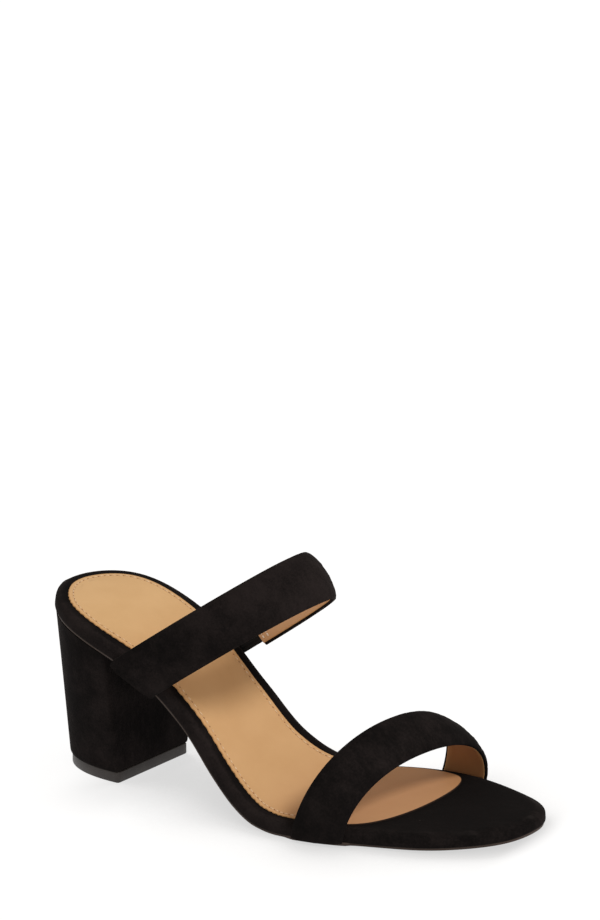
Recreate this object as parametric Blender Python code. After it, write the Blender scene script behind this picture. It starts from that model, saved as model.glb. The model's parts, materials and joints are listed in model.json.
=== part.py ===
"""High heel shoe for the right foot: a two-strap suede mule on a block heel.

Sizes are in millimetres and become metres when a mesh is made. While it is being built, X runs
from the heel's back to the toe, +Y is the inner (medial) side and Z is up from the floor. At the
end the whole shoe is set with the middle of its base on the world's origin.
"""
import math
from typing import NamedTuple

import bpy
import numpy as np

MM = 0.001
GAP = 0.3                # clearance between neighbouring pieces

# Main sizes of the last
LENGTH = 227.0           # heel back to toe tip, along the floor
FLEX_SKEW = 0.18         # the ball's bending line runs further forward on the inner side
ARCH_RUN = 90.0          # length over which that skew grows behind the arch
TOE_RUN = 60.0           # length over which it dies out before the toe
TOE_SPRING = 3.5
TREAD_END = 157.0        # front end of the flat tread under the ball
SPRING_POWER = 1.6

# Layers of the sole, each measured square to the one below
OUTSOLE_THICK = 1.6
OUTSOLE_INSET = 0.8
FOOTBED_THICK = 5.0
SOCK_THICK = 1.1
STRAP_SWELL = 1.6        # how far the outsole swells out under a strap's end
SWELL_RUN = 6.0          # length of each swell's slope

# Straps
STRAP_THICK = 2.6
STRAP_SKIVED = 1.8       # thickness where a strap's end is tucked in
SKIVE_RUN = 0.12         # share of the arch over which it thins
STRAP_LIFT = 0.8         # a strap's end stands this far over the outsole
ELASTIC_THICK = 1.4
ELASTIC_START = 16.5     # length of elastic at the instep strap's inner end
ELASTIC_MARGIN = 0.08    # share of the strap's width left bare on each side

# Heel and top lift
BREAST_X = 45.5          # the heel's front face, on the centre line
BREAST_SKEW = 0.13       # the breast runs further forward on the inner side
LIFT_THICK = 4.9
LIFT_HALF_WIDTH = 22.8
LIFT_BACK = 7.3
LIFT_ROUND = 2.3         # exponent of the rounded back
HEEL_MARGIN = 0.8        # the covered block stands this far out from the lift
HEEL_TOP_INSET = 1.4

# Fineness of the faceted solids
RUNGS = 48               # sections from heel to toe
ACROSS = 6               # strips across each section
ARCH_STEPS = 44
HEEL_STEPS = 18
HEEL_LEVELS = 7
SHARP_ANGLE = 40.0       # edges that bend more than this stay sharp
SLOPE_STEP = 0.5         # half the length over which a slope is read
TURN_STEP = 0.001        # small step of a strap's turn and width, to find its normal
END_TURN = 0.02          # a strap's normal is steady this close to its end


class Section(NamedTuple):
    """Outline of a sole layer at one turn of the half circle that spaces the sections."""
    turn: float
    outer: float
    inner: float


class Height(NamedTuple):
    """Height of the tread side over the floor, at one place along the shoe."""
    x: float
    z: float


class Rim(NamedTuple):
    """One ring of a layer's edge: how far it is set in, and its height as a share of the layer."""
    inset: float
    rise: float


class StrapEdge(NamedTuple):
    """One edge of a strap: where it leaves the sole on each side, and its arch."""
    outer_x: float
    inner_x: float
    rise: float
    lean: float
    fullness: float
    shoulder: float


class BandPoint(NamedTuple):
    """One point of a strap's section: share of the width, and share of the thickness."""
    across: float
    out: float


FOOTBED_PLAN = (
    Section(0, 0.0, 0.0),
    Section(15, -13.0, 16.0),
    Section(30, -26.0, 28.0),
    Section(45, -32.0, 32.0),
    Section(60, -29.5, 29.5),
    Section(75, -27.5, 25.5),
    Section(90, -35.0, 30.0),
    Section(105, -35.5, 44.5),
    Section(120, -28.0, 52.0),
    Section(135, -21.0, 48.0),
    Section(150, -10.0, 40.5),
    Section(165, 3.0, 31.5),
    Section(180, 20.0, 20.0),
)

SOCK_BACK, SOCK_FRONT = 5.0, 179.5
SOCK_PLAN = (
    Section(0, 0.0, 0.0),
    Section(15, -11.0, 12.0),
    Section(30, -21.5, 22.5),
    Section(45, -26.5, 26.5),
    Section(60, -25.5, 25.0),
    Section(75, -22.5, 21.0),
    Section(90, -24.0, 19.5),
    Section(105, -30.0, 24.5),
    Section(120, -31.5, 36.5),
    Section(135, -28.5, 46.5),
    Section(150, -19.5, 49.0),
    Section(165, 1.0, 44.0),
    Section(180, 27.0, 27.0),
)

TREAD = (
    Height(0, 73.0),
    Height(20, 69.5),
    Height(40, 63.0),
    Height(60, 53.0),
    Height(80, 35.8),
    Height(100, 15.8),
    Height(115, 5.7),
    Height(126, 1.4),
    Height(137, 0.0),
    Height(TREAD_END, 0.0),
)

OUTSOLE_RIM = (Rim(0.5, 0.0), Rim(0.0, 0.25), Rim(0.0, 1.0))
FOOTBED_RIM = (
    Rim(1.6, 0.0),
    Rim(0.5, 0.08),
    Rim(0.0, 0.28),
    Rim(0.0, 0.64),
    Rim(0.45, 0.85),
    Rim(1.4, 0.97),
    Rim(2.8, 1.0),
)
SOCK_RIM = (Rim(0.2, 0.0), Rim(0.0, 0.35), Rim(0.5, 1.0))

FRONT_STRAP = (
    StrapEdge(139.0, 160.0, 43.5, 75.0, 2.1, 0.09),
    StrapEdge(161.0, 182.0, 29.0, 79.0, 2.2, 0.02),
)
INSTEP_STRAP = (
    StrapEdge(46.0, 52.0, 82.6, 36.5, 2.45, 0.05),
    StrapEdge(65.0, 71.5, 76.0, 36.5, 2.4, 0.02),
)

STRAP_SECTION = (
    BandPoint(0.0, 0.3),
    BandPoint(0.05, 0.0),
    BandPoint(0.25, 0.0),
    BandPoint(0.5, 0.0),
    BandPoint(0.75, 0.0),
    BandPoint(0.95, 0.0),
    BandPoint(1.0, 0.3),
    BandPoint(1.0, 0.62),
    BandPoint(0.95, 0.86),
    BandPoint(0.75, 0.98),
    BandPoint(0.5, 1.0),
    BandPoint(0.25, 0.98),
    BandPoint(0.05, 0.86),
    BandPoint(0.0, 0.62),
)
ELASTIC_SECTION = (
    BandPoint(0.0, 0.0),
    BandPoint(0.25, 0.0),
    BandPoint(0.5, 0.0),
    BandPoint(0.75, 0.0),
    BandPoint(1.0, 0.0),
    BandPoint(1.0, 1.0),
    BandPoint(0.75, 1.0),
    BandPoint(0.5, 1.0),
    BandPoint(0.25, 1.0),
    BandPoint(0.0, 1.0),
)

HEEL_FOOT = (Rim(1.7, 0.0), Rim(0.5, 1.2), Rim(0.0, 3.2))


class Finish(NamedTuple):
    """Colour, roughness and metallic value of a material."""
    colour: tuple
    roughness: float
    metallic: float


SUEDE = Finish((0.012, 0.011, 0.011), 0.95, 0.0)
TAN_LEATHER = Finish((0.42, 0.22, 0.11), 0.55, 0.0)
SOLE_BOARD = Finish((0.06, 0.045, 0.04), 0.45, 0.0)
LIFT_RUBBER = Finish((0.07, 0.065, 0.062), 0.5, 0.0)
ELASTIC_WEB = Finish((0.015, 0.014, 0.014), 0.9, 0.0)


def clear_scene():
    """Removes whatever the scene holds."""
    for thing in list(bpy.data.objects):
        bpy.data.objects.remove(thing, do_unlink=True)


def make_material(name, finish):
    """Returns a Principled material with the finish's colour, roughness and metallic value."""
    material = bpy.data.materials.new(name)
    material.use_nodes = True
    shader = material.node_tree.nodes["Principled BSDF"]
    shader.inputs["Base Color"].default_value = (*finish.colour, 1.0)
    shader.inputs["Roughness"].default_value = finish.roughness
    shader.inputs["Metallic"].default_value = finish.metallic
    return material


def hermite(knots, values, slopes, at):
    """Cubic through the knots with the given slopes."""
    at = np.clip(at, knots[0], knots[-1])
    left = np.clip(np.searchsorted(knots, at, side="right") - 1, 0, len(knots) - 2)
    span = knots[left + 1] - knots[left]
    t = (at - knots[left]) / span
    rest = 1.0 - t
    ends = values[left] * (1 + 2 * t) * rest**2 + values[left + 1] * (3 - 2 * t) * t**2
    return ends + span * t * rest * (slopes[left] * rest - slopes[left + 1] * t)


def even_slopes(knots, values):
    """Slopes of the natural cubic spline through the knots, whose curvature has no jumps."""
    count = len(knots)
    span = np.diff(knots)
    secant = np.diff(values) / span
    matrix = np.zeros((count, count))
    right = np.zeros(count)
    matrix[0, :2] = (2.0, 1.0)
    matrix[-1, -2:] = (1.0, 2.0)
    right[0] = 3 * secant[0]
    right[-1] = 3 * secant[-1]
    for i in range(1, count - 1):
        matrix[i, i - 1:i + 2] = (span[i], 2 * (span[i - 1] + span[i]), span[i - 1])
        right[i] = 3 * (span[i] * secant[i - 1] + span[i - 1] * secant[i])
    return np.linalg.solve(matrix, right)


def steady_slopes(knots, values):
    """Slopes that never overshoot, so that a level stretch stays level."""
    secant = np.diff(values) / np.diff(knots)
    slopes = np.zeros(len(knots))
    slopes[0] = secant[0]
    slopes[-1] = secant[-1]
    for i in range(1, len(knots) - 1):
        before, after = secant[i - 1], secant[i]
        if before * after > 0:
            slopes[i] = 2 * before * after / (before + after)
    return slopes


TREAD_X = np.array([row.x for row in TREAD])
TREAD_Z = np.array([row.z for row in TREAD])
TREAD_SLOPES = steady_slopes(TREAD_X, TREAD_Z)


def tread_height(x, y):
    """Height of the tread side over the floor at a place on the plan."""
    skew = FLEX_SKEW * y * np.clip(x / ARCH_RUN, 0, 1) * np.clip((LENGTH - x) / TOE_RUN, 0, 1)
    along = x - skew
    share = np.clip((along - TREAD_END) / (LENGTH - TREAD_END), 0, None)
    return hermite(TREAD_X, TREAD_Z, TREAD_SLOPES, along) + TOE_SPRING * share**SPRING_POWER


def lifted(plan, height):
    """Points that stand a height over the tread side, square to its slope along the shoe."""
    x, y = plan[:, 0], plan[:, 1]
    slope = (tread_height(x + SLOPE_STEP, y) - tread_height(x - SLOPE_STEP, y)) / (2 * SLOPE_STEP)
    scale = height / np.sqrt(1 + slope**2)
    return np.stack([x - slope * scale, y, tread_height(x, y) + scale], axis=1)


def outline(rows, start, end):
    """Closed plan outline: heel back, outer side, toe tip, then back along the inner side."""
    knots = np.radians([row.turn for row in rows])
    turns = np.linspace(0.0, math.pi, RUNGS + 1)
    x = start + (end - start) * (1 - np.cos(turns)) / 2
    sides = []
    for values in (np.array([row.outer for row in rows]), np.array([row.inner for row in rows])):
        sides.append(np.stack([x, hermite(knots, values, even_slopes(knots, values), turns)], axis=1))
    outer, inner = sides
    return np.concatenate([outer, inner[-2:0:-1]])


def outward(plan):
    """Unit normals of a closed plan outline, away from the shoe."""
    along = np.roll(plan, -1, axis=0) - np.roll(plan, 1, axis=0)
    normal = np.stack([along[:, 1], -along[:, 0]], axis=1)
    normal /= np.linalg.norm(normal, axis=1)[:, None]
    middle = plan.mean(axis=0)
    facing = np.sign(np.sum(normal * (plan - middle)))
    return normal * facing


FOOTBED_OUTLINE = outline(FOOTBED_PLAN, 0.0, LENGTH)
SOCK_OUTLINE = outline(SOCK_PLAN, SOCK_BACK, SOCK_FRONT)


def swell(plan):
    """How far the outsole stands out under the straps' ends, around a closed outline."""
    total = np.zeros(len(plan))
    is_outer = np.arange(len(plan)) <= RUNGS
    for back, front in (FRONT_STRAP, INSTEP_STRAP):
        for side, start, end in ((is_outer, back.outer_x, front.outer_x),
                                 (~is_outer, back.inner_x, front.inner_x)):
            away = np.maximum(start - plan[:, 0], plan[:, 0] - end)
            share = np.clip(1 - away / SWELL_RUN, 0, 1)
            total += np.where(side, share**2 * (3 - 2 * share), 0.0)
    return STRAP_SWELL * total


def new_object(name, points, faces, finish):
    """Makes a smooth-shaded object from points in millimetres and their faces."""
    mesh = bpy.data.meshes.new(name)
    mesh.from_pydata([tuple(p * MM) for p in points], [], faces)
    mesh.validate()
    mesh.materials.append(make_material(name, finish))
    mesh.shade_smooth()
    mesh.set_sharp_from_angle(angle=math.radians(SHARP_ANGLE))
    thing = bpy.data.objects.new(name, mesh)
    bpy.context.collection.objects.link(thing)
    return thing


def bridge(first, second):
    """Quads between two closed rings of point numbers."""
    count = len(first)
    faces = []
    for i in range(count):
        j = (i + 1) % count
        faces.append((first[i], first[j], second[j], second[i]))
    return faces


def ladder(ring):
    """Faces that close a ring, each between two steps of one half and two of the other."""
    count = len(ring)
    faces = []
    for i in range(count // 2):
        face = [ring[i], ring[i + 1], ring[count - 2 - i], ring[count - 1 - i]]
        face = list(dict.fromkeys(face))
        if len(face) > 2:
            faces.append(face)
    return faces


def turned(faces):
    """The same faces, facing the other way."""
    return [list(face)[::-1] for face in faces]


def layer(name, plan, rims, base, thick, finish):
    """A sole layer: rings up its edge, closed above and below by strips across the shoe.

    The strips' inner points lie on the same surface as the rings, so the layer keeps the
    last's shape right across.
    """
    count = len(plan)
    normals = outward(plan)
    points, rings, faces = [], [], []
    for rim in rims:
        ring = lifted(plan - normals * rim.inset, base + thick * rim.rise)
        rings.append(list(range(len(points), len(points) + count)))
        points.extend(ring)
    for lower, upper in zip(rings, rings[1:]):
        faces.extend(bridge(lower, upper))
    for ring, rim, upward in ((rings[0], rims[0], False), (rings[-1], rims[-1], True)):
        flat = plan - normals * rim.inset
        rows = [[ring[0]] * (ACROSS + 1)]
        for i in range(1, RUNGS):
            outer, inner = flat[i], flat[count - i]
            shares = np.arange(1, ACROSS) / ACROSS
            between = outer + (inner - outer) * shares[:, None]
            first = len(points)
            points.extend(lifted(between, base + thick * rim.rise))
            rows.append([ring[i], *range(first, first + ACROSS - 1), ring[count - i]])
        rows.append([ring[RUNGS]] * (ACROSS + 1))
        for row, ahead in zip(rows, rows[1:]):
            for j in range(ACROSS):
                face = [row[j], ahead[j], ahead[j + 1], row[j + 1]]
                face = list(dict.fromkeys(face))
                faces.append(face if upward else face[::-1])
    return new_object(name, points, faces, finish)


def side_point(x, inner):
    """Plan point just outside the footbed's edge, at a place along one side."""
    half = FOOTBED_OUTLINE[RUNGS:] if inner else FOOTBED_OUTLINE[:RUNGS + 1]
    normals = outward(FOOTBED_OUTLINE)
    normals = normals[RUNGS:] if inner else normals[:RUNGS + 1]
    order = np.argsort(half[:, 0])
    y = np.interp(x, half[order, 0], half[order, 1])
    out = np.array([np.interp(x, half[order, 0], normals[order, k]) for k in range(2)])
    return np.array([x, y]) + out * GAP


class Arch:
    """A strap's path over the foot: an arch for every share of its width, from back to front."""

    def __init__(self, edges):
        self.back, self.front = edges

    def edge(self, across):
        """The strap's sizes at a share of its width."""
        pairs = zip(self.back, self.front)
        return StrapEdge(*(a + (b - a) * across for a, b in pairs))

    def path(self, across, turns):
        """Points along the strap's inner face, turns running from pi (outer) to 0 (inner)."""
        edge = self.edge(across)
        height = OUTSOLE_THICK + STRAP_LIFT
        ends = np.array([side_point(edge.outer_x, False), side_point(edge.inner_x, True)])
        outer, inner = lifted(ends, height)
        lean = math.radians(edge.lean)
        up = np.array([math.cos(lean), 0.0, math.sin(lean)])
        power = 2 / edge.fullness
        cosine, sine = np.cos(turns), np.clip(np.sin(turns), 0, 1)
        sideways = np.sign(cosine) * np.abs(cosine)**power * (1 + edge.shoulder * sine)
        middle, half = (outer + inner) / 2, (inner - outer) / 2
        return middle + half * sideways[:, None] + up * (edge.rise * sine**power)[:, None]

    def outward(self, across, turns):
        """Unit normals of the inner face, away from the foot."""
        inside = np.clip(turns, END_TURN, math.pi - END_TURN)
        along = self.path(across, inside - TURN_STEP) - self.path(across, inside + TURN_STEP)
        wide = self.path(across + TURN_STEP, inside) - self.path(across - TURN_STEP, inside)
        normal = np.cross(wide, along)
        return normal / np.linalg.norm(normal, axis=1)[:, None]


def band(name, arch, turns, section, low, thick, margin, finish):
    """A strap along an arch: its section swept along the turns, with flat ends.

    Args: low is the section's distance from the arch, thick its thickness at each turn, and
    margin the share of the strap's width left out on each side.
    """
    columns = []
    for spot in section:
        across = margin + (1 - 2 * margin) * spot.across
        path = arch.path(across, turns)
        columns.append(path + arch.outward(across, turns) * (low + thick * spot.out)[:, None])
    points = np.stack(columns, axis=1).reshape(-1, 3)
    count = len(section)
    rings = [list(range(i * count, (i + 1) * count)) for i in range(len(turns))]
    faces = []
    for ring, ahead in zip(rings, rings[1:]):
        faces.extend(bridge(ahead, ring))
    faces.extend(ladder(rings[0]))
    faces.extend(turned(ladder(rings[-1])))
    return new_object(name, points, faces, finish)


def strap_thickness(turns):
    """Full thickness over the foot, skived at both ends of the turns."""
    share = np.clip(np.minimum(turns, math.pi - turns) / (SKIVE_RUN * math.pi), 0, 1)
    return STRAP_SKIVED + (STRAP_THICK - STRAP_SKIVED) * share


def lift_ring(grow):
    """Plan of the top lift: a straight breast and a rounded back, grown outwards at the sides."""
    turns = np.linspace(0.0, math.pi, 2 * HEEL_STEPS + 1)
    power = 2 / LIFT_ROUND
    cosine, sine = np.cos(turns), np.sin(turns)
    y = -np.sign(cosine) * np.abs(cosine)**power * (LIFT_HALF_WIDTH + grow)
    depth = BREAST_X - LIFT_BACK + grow + BREAST_SKEW * y
    x = BREAST_X + BREAST_SKEW * y - depth * np.clip(sine, 0, 1)**power
    return np.stack([x, y], axis=1)


def evenly(line):
    """An open plan line again, as evenly spread points."""
    steps = np.linalg.norm(np.diff(line, axis=0), axis=1)
    lengths = np.concatenate([[0.0], np.cumsum(steps)])
    even = np.linspace(0.0, lengths[-1], HEEL_STEPS + 1)
    return np.stack([np.interp(even, lengths, line[:, k]) for k in range(2)], axis=1)


def seat_ring():
    """Plan of the heel's top: the footbed's outline from the breast round the back."""
    inset = FOOTBED_OUTLINE - outward(FOOTBED_OUTLINE) * HEEL_TOP_INSET
    outer, inner = inset[:RUNGS + 1], np.concatenate([inset[RUNGS:], inset[:1]])[::-1]
    halves = []
    for side in (outer, inner):
        ahead = side[:, 0] - (BREAST_X + BREAST_SKEW * side[:, 1])
        last = int(np.argmax(ahead > 0))
        share = -ahead[last - 1] / (ahead[last] - ahead[last - 1])
        corner = side[last - 1] + (side[last] - side[last - 1]) * share
        halves.append(evenly(np.concatenate([side[:last], corner[None]])))
    return np.concatenate([halves[0][::-1], halves[1][1:]])


def even_ring(ring):
    """The same open ring with its points spread evenly along each half."""
    return np.concatenate([evenly(ring[:HEEL_STEPS + 1]), evenly(ring[HEEL_STEPS:])[1:]])


def block(name, rings, finish):
    """A solid between open D-shaped rings, whose two ends close along the breast."""
    count = len(rings[0])
    points = np.concatenate(rings)
    numbers = [list(range(i * count, (i + 1) * count)) for i in range(len(rings))]
    faces = []
    for lower, upper in zip(numbers, numbers[1:]):
        faces.extend(bridge(upper, lower))
    faces.extend(ladder(numbers[0]))
    faces.extend(turned(ladder(numbers[-1])))
    return new_object(name, points, faces, finish)


def standing(plan, z):
    """Plan points at a height over the floor."""
    return np.stack([plan[:, 0], plan[:, 1], np.broadcast_to(z, len(plan))], axis=1)


def shrunk(ring, inset):
    """A D-shaped ring set in from its sides and back, with its breast left in place."""
    middle = np.array([BREAST_X, 0.0])
    reach = np.linalg.norm(ring - middle, axis=1)
    return middle + (ring - middle) * (1 - inset / reach)[:, None]


def build_heel():
    """Suede-covered block: rounded foot, straight flaring sides, top under the outsole."""
    foot, seat = even_ring(lift_ring(HEEL_MARGIN)), seat_ring()
    floor = LIFT_THICK + GAP
    ceiling = tread_height(seat[:, 0], seat[:, 1]) - GAP
    rings = []
    for rim in HEEL_FOOT:
        share = rim.rise / (ceiling - floor)
        plan = shrunk(foot, rim.inset) + (seat - foot) * share[:, None]
        rings.append(standing(plan, floor + rim.rise))
    start = HEEL_FOOT[-1].rise / (ceiling - floor)
    for level in np.linspace(0.0, 1.0, HEEL_LEVELS + 1)[1:]:
        share = start + (1 - start) * level
        plan = foot + (seat - foot) * share[:, None]
        rings.append(standing(plan, floor + (ceiling - floor) * share))
    return block("heel", rings, SUEDE)


def build_top_lift():
    """Flat rubber wear piece under the heel."""
    plan = even_ring(lift_ring(0.0))
    rings = [standing(plan, 0.0), standing(plan, LIFT_THICK)]
    return block("top_lift", rings, LIFT_RUBBER)


def build_sole():
    """Outsole, footbed and sock lining, from the floor up."""
    stand_out = swell(FOOTBED_OUTLINE) - OUTSOLE_INSET
    swollen = FOOTBED_OUTLINE + outward(FOOTBED_OUTLINE) * stand_out[:, None]
    footbed_base = OUTSOLE_THICK + GAP
    sock_base = footbed_base + FOOTBED_THICK + GAP
    return [
        layer("outsole", swollen, OUTSOLE_RIM, 0.0, OUTSOLE_THICK, SOLE_BOARD),
        layer("footbed", FOOTBED_OUTLINE, FOOTBED_RIM, footbed_base, FOOTBED_THICK, SUEDE),
        layer("sock", SOCK_OUTLINE, SOCK_RIM, sock_base, SOCK_THICK, TAN_LEATHER),
    ]


def build_straps():
    """Front strap from side to side, and the instep strap with its elastic on the inner side."""
    front, instep = Arch(FRONT_STRAP), Arch(INSTEP_STRAP)
    across_foot = np.linspace(math.pi, 0.0, ARCH_STEPS + 1)
    power = INSTEP_STRAP[0].fullness / 2
    stop = math.asin((ELASTIC_START / INSTEP_STRAP[0].rise)**power)
    seam = GAP / ELASTIC_START * stop
    to_elastic = np.linspace(math.pi, stop + seam, ARCH_STEPS + 1)
    from_strap = np.linspace(stop, 0.0, ACROSS + 1)
    middle = np.full(len(from_strap), (STRAP_SKIVED - ELASTIC_THICK) / 2)
    return [
        band("strap_front", front, across_foot, STRAP_SECTION, np.zeros(len(across_foot)),
             strap_thickness(across_foot), 0.0, SUEDE),
        band("strap_instep", instep, to_elastic, STRAP_SECTION, np.zeros(len(to_elastic)),
             strap_thickness(to_elastic), 0.0, SUEDE),
        band("strap_elastic", instep, from_strap, ELASTIC_SECTION, middle,
             np.full(len(from_strap), ELASTIC_THICK), ELASTIC_MARGIN, ELASTIC_WEB),
    ]


def set_on_origin(things):
    """Moves the shoe's meshes so that the middle of its base is the world's origin."""
    corners = np.array([vertex.co for thing in things for vertex in thing.data.vertices])
    low, high = corners.min(axis=0), corners.max(axis=0)
    base = np.array([(low[0] + high[0]) / 2, (low[1] + high[1]) / 2, low[2]])
    for thing in things:
        for vertex in thing.data.vertices:
            vertex.co = np.array(vertex.co) - base


def main():
    """Builds every piece of the shoe."""
    clear_scene()
    things = build_sole() + build_straps() + [build_heel(), build_top_lift()]
    set_on_origin(things)


main()
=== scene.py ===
"""Looks of a two-strap suede mule: nap, leather, stitching, elastic, floor, light and camera.

Sizes are in millimetres on the shoe's last, where X runs from the heel's back to the toe, +Y is
the inner side and Z is up from the floor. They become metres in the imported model's frame when a
mesh is made.
"""
import json
import logging
import math
from dataclasses import dataclass
from enum import Enum
from typing import NamedTuple, Sequence

import bpy
import numpy as np
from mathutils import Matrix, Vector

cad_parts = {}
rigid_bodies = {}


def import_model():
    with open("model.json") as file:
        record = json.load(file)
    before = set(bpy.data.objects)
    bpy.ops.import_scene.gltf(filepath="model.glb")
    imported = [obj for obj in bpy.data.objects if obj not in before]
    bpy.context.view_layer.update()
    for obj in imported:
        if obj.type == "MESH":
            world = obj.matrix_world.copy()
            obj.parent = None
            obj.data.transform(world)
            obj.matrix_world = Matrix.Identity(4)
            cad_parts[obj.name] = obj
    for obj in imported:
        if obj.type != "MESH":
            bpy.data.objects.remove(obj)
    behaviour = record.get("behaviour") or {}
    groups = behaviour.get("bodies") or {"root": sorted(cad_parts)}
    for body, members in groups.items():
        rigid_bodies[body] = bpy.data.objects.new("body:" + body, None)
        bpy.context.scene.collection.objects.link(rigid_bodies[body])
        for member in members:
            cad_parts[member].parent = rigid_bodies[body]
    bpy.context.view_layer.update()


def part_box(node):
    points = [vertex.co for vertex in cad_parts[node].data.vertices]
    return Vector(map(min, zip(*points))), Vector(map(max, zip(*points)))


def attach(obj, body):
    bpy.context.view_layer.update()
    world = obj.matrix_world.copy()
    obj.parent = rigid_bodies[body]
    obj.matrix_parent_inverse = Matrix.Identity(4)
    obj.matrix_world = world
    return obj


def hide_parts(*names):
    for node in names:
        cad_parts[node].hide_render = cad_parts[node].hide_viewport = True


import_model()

LOG = logging.getLogger("shoe")
MM = 0.001

Pair = tuple[float, float]
Triple = tuple[float, float, float]
Colour = Triple

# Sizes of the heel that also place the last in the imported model's frame
BREAST_X = 45.5
BREAST_SKEW = 0.13
LIFT_HALF_WIDTH = 22.8


class Side(Enum):
    """Side of the foot."""
    OUTER = 0
    INNER = 1


class Section(NamedTuple):
    """A sole layer's outline at one turn of the half circle that spaces its sections."""
    turn: float
    outer: float
    inner: float


class Height(NamedTuple):
    """Height of the tread side over the floor, at one place along the shoe."""
    x: float
    z: float


class Rim(NamedTuple):
    """One ring of an edge: how far it is set in, and its rise.

    The rise is a share of the thickness in a sole layer, and millimetres at the heel's foot.
    """
    inset: float
    rise: float


class StrapEdge(NamedTuple):
    """One edge of a strap: where it leaves the sole on each side, and its arch."""
    outer_x: float
    inner_x: float
    rise: float
    lean: float
    fullness: float
    shoulder: float


class Seam(NamedTuple):
    """Places of a row of stitches: each with the way the thread runs and the way it stands out."""
    points: np.ndarray
    along: np.ndarray
    out: np.ndarray


class Stitch(NamedTuple):
    """One stitch: its sizes, its shift along the seam as a share of the pitch, and its depth."""
    length: float
    thickness: float
    shift: float = 0.0
    depth: float = 0.0


class Wave(NamedTuple):
    """One soft wave of an uneven surface: its height, its run for one radian, and its start."""
    height: float
    run: float
    start: float = 0.0


def hermite(knots: np.ndarray, values: np.ndarray, slopes: np.ndarray,
            at: np.ndarray) -> np.ndarray:
    """Cubic through the knots with the given slopes.

    Args:
        knots: rising places of the knots.
        values: value at each knot.
        slopes: slope at each knot.
        at: places to read.

    Returns:
        The value at each place.
    """
    at = np.clip(at, knots[0], knots[-1])
    left = np.clip(np.searchsorted(knots, at, side="right") - 1, 0, len(knots) - 2)
    span = knots[left + 1] - knots[left]
    t = (at - knots[left]) / span
    rest = 1.0 - t
    ends = values[left] * (1 + 2 * t) * rest**2 + values[left + 1] * (3 - 2 * t) * t**2
    return ends + span * t * rest * (slopes[left] * rest - slopes[left + 1] * t)


def even_slopes(knots: np.ndarray, values: np.ndarray) -> np.ndarray:
    """Slopes of the natural cubic spline, whose curvature has no jumps.

    Args:
        knots: rising places of the knots.
        values: value at each knot.

    Returns:
        The slope at each knot.
    """
    count = len(knots)
    span = np.diff(knots)
    secant = np.diff(values) / span
    matrix = np.zeros((count, count))
    right = np.zeros(count)
    matrix[0, :2] = (2.0, 1.0)
    matrix[-1, -2:] = (1.0, 2.0)
    right[0] = 3 * secant[0]
    right[-1] = 3 * secant[-1]
    for i in range(1, count - 1):
        matrix[i, i - 1:i + 2] = (span[i], 2 * (span[i - 1] + span[i]), span[i - 1])
        right[i] = 3 * (span[i] * secant[i - 1] + span[i - 1] * secant[i])
    return np.linalg.solve(matrix, right)


def steady_slopes(knots: np.ndarray, values: np.ndarray) -> np.ndarray:
    """Slopes that never overshoot, so that a level stretch stays level.

    Args:
        knots: rising places of the knots.
        values: value at each knot.

    Returns:
        The slope at each knot.
    """
    secant = np.diff(values) / np.diff(knots)
    slopes = np.zeros(len(knots))
    slopes[0] = secant[0]
    slopes[-1] = secant[-1]
    for i in range(1, len(knots) - 1):
        before, after = secant[i - 1], secant[i]
        if before * after > 0:
            slopes[i] = 2 * before * after / (before + after)
    return slopes


def smooth_step(low: float, high: float, at: np.ndarray) -> np.ndarray:
    """Rises softly from 0 at low to 1 at high."""
    share = np.clip((at - low) / (high - low), 0, 1)
    return share**2 * (3 - 2 * share)


def waviness(waves: Sequence[Wave], at: np.ndarray) -> np.ndarray:
    """Sum of soft waves at the given places."""
    return sum(wave.height * np.sin(at / wave.run + wave.start) for wave in waves)


def arch(turns: np.ndarray, fullness: float) -> tuple[np.ndarray, np.ndarray]:
    """Half of a rounded oblong of half width 1 and height 1.

    Args:
        turns: places on it, from 0 at one end to pi at the other.
        fullness: 2 for a half circle, more for a squarer one.

    Returns:
        The distances across and up.
    """
    cosine, sine = np.cos(turns), np.clip(np.sin(turns), 0, 1)
    power = 2 / fullness
    return np.sign(cosine) * np.abs(cosine)**power, sine**power


def unit(vectors: np.ndarray) -> np.ndarray:
    """The same vectors at length 1."""
    return vectors / np.linalg.norm(vectors, axis=-1, keepdims=True)


def outward(plan: np.ndarray) -> np.ndarray:
    """Unit normals of a closed plan outline, away from its middle.

    Args:
        plan: the outline's points in order.

    Returns:
        One normal for each point.
    """
    along = np.roll(plan, -1, axis=0) - np.roll(plan, 1, axis=0)
    normal = unit(np.stack([along[:, 1], -along[:, 0]], axis=1))
    facing = np.sign(np.sum(normal * (plan - plan.mean(axis=0))))
    return normal * facing


def run_lengths(line: np.ndarray) -> np.ndarray:
    """Length from a line's first point to each of its points."""
    return np.concatenate([[0.0], np.cumsum(np.linalg.norm(np.diff(line, axis=0), axis=1))])


def evenly(line: np.ndarray, steps: int) -> np.ndarray:
    """An open line again, as evenly spread points.

    Args:
        line: the line's points in order.
        steps: number of steps between the new points.

    Returns:
        The new points.
    """
    lengths = run_lengths(line)
    even = np.linspace(0.0, lengths[-1], steps + 1)
    return np.stack([np.interp(even, lengths, column) for column in line.T], axis=1)


def frame_origin() -> np.ndarray:
    """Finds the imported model's origin from the top lift's box.

    Returns:
        Its place on the last, in millimetres.
    """
    low, high = (np.array(corner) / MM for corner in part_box("top_lift"))
    x = BREAST_X + BREAST_SKEW * LIFT_HALF_WIDTH - high[0]
    return np.array([x, -(low[1] + high[1]) / 2, 0.0])


ORIGIN = frame_origin()


def linked(name: str, data: bpy.types.ID) -> bpy.types.Object:
    """Makes an object and links it to the scene.

    Args:
        name: the object's name.
        data: its mesh, lamp or camera.

    Returns:
        The new object.
    """
    thing = bpy.data.objects.new(name, data)
    bpy.context.scene.collection.objects.link(thing)
    return thing


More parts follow.
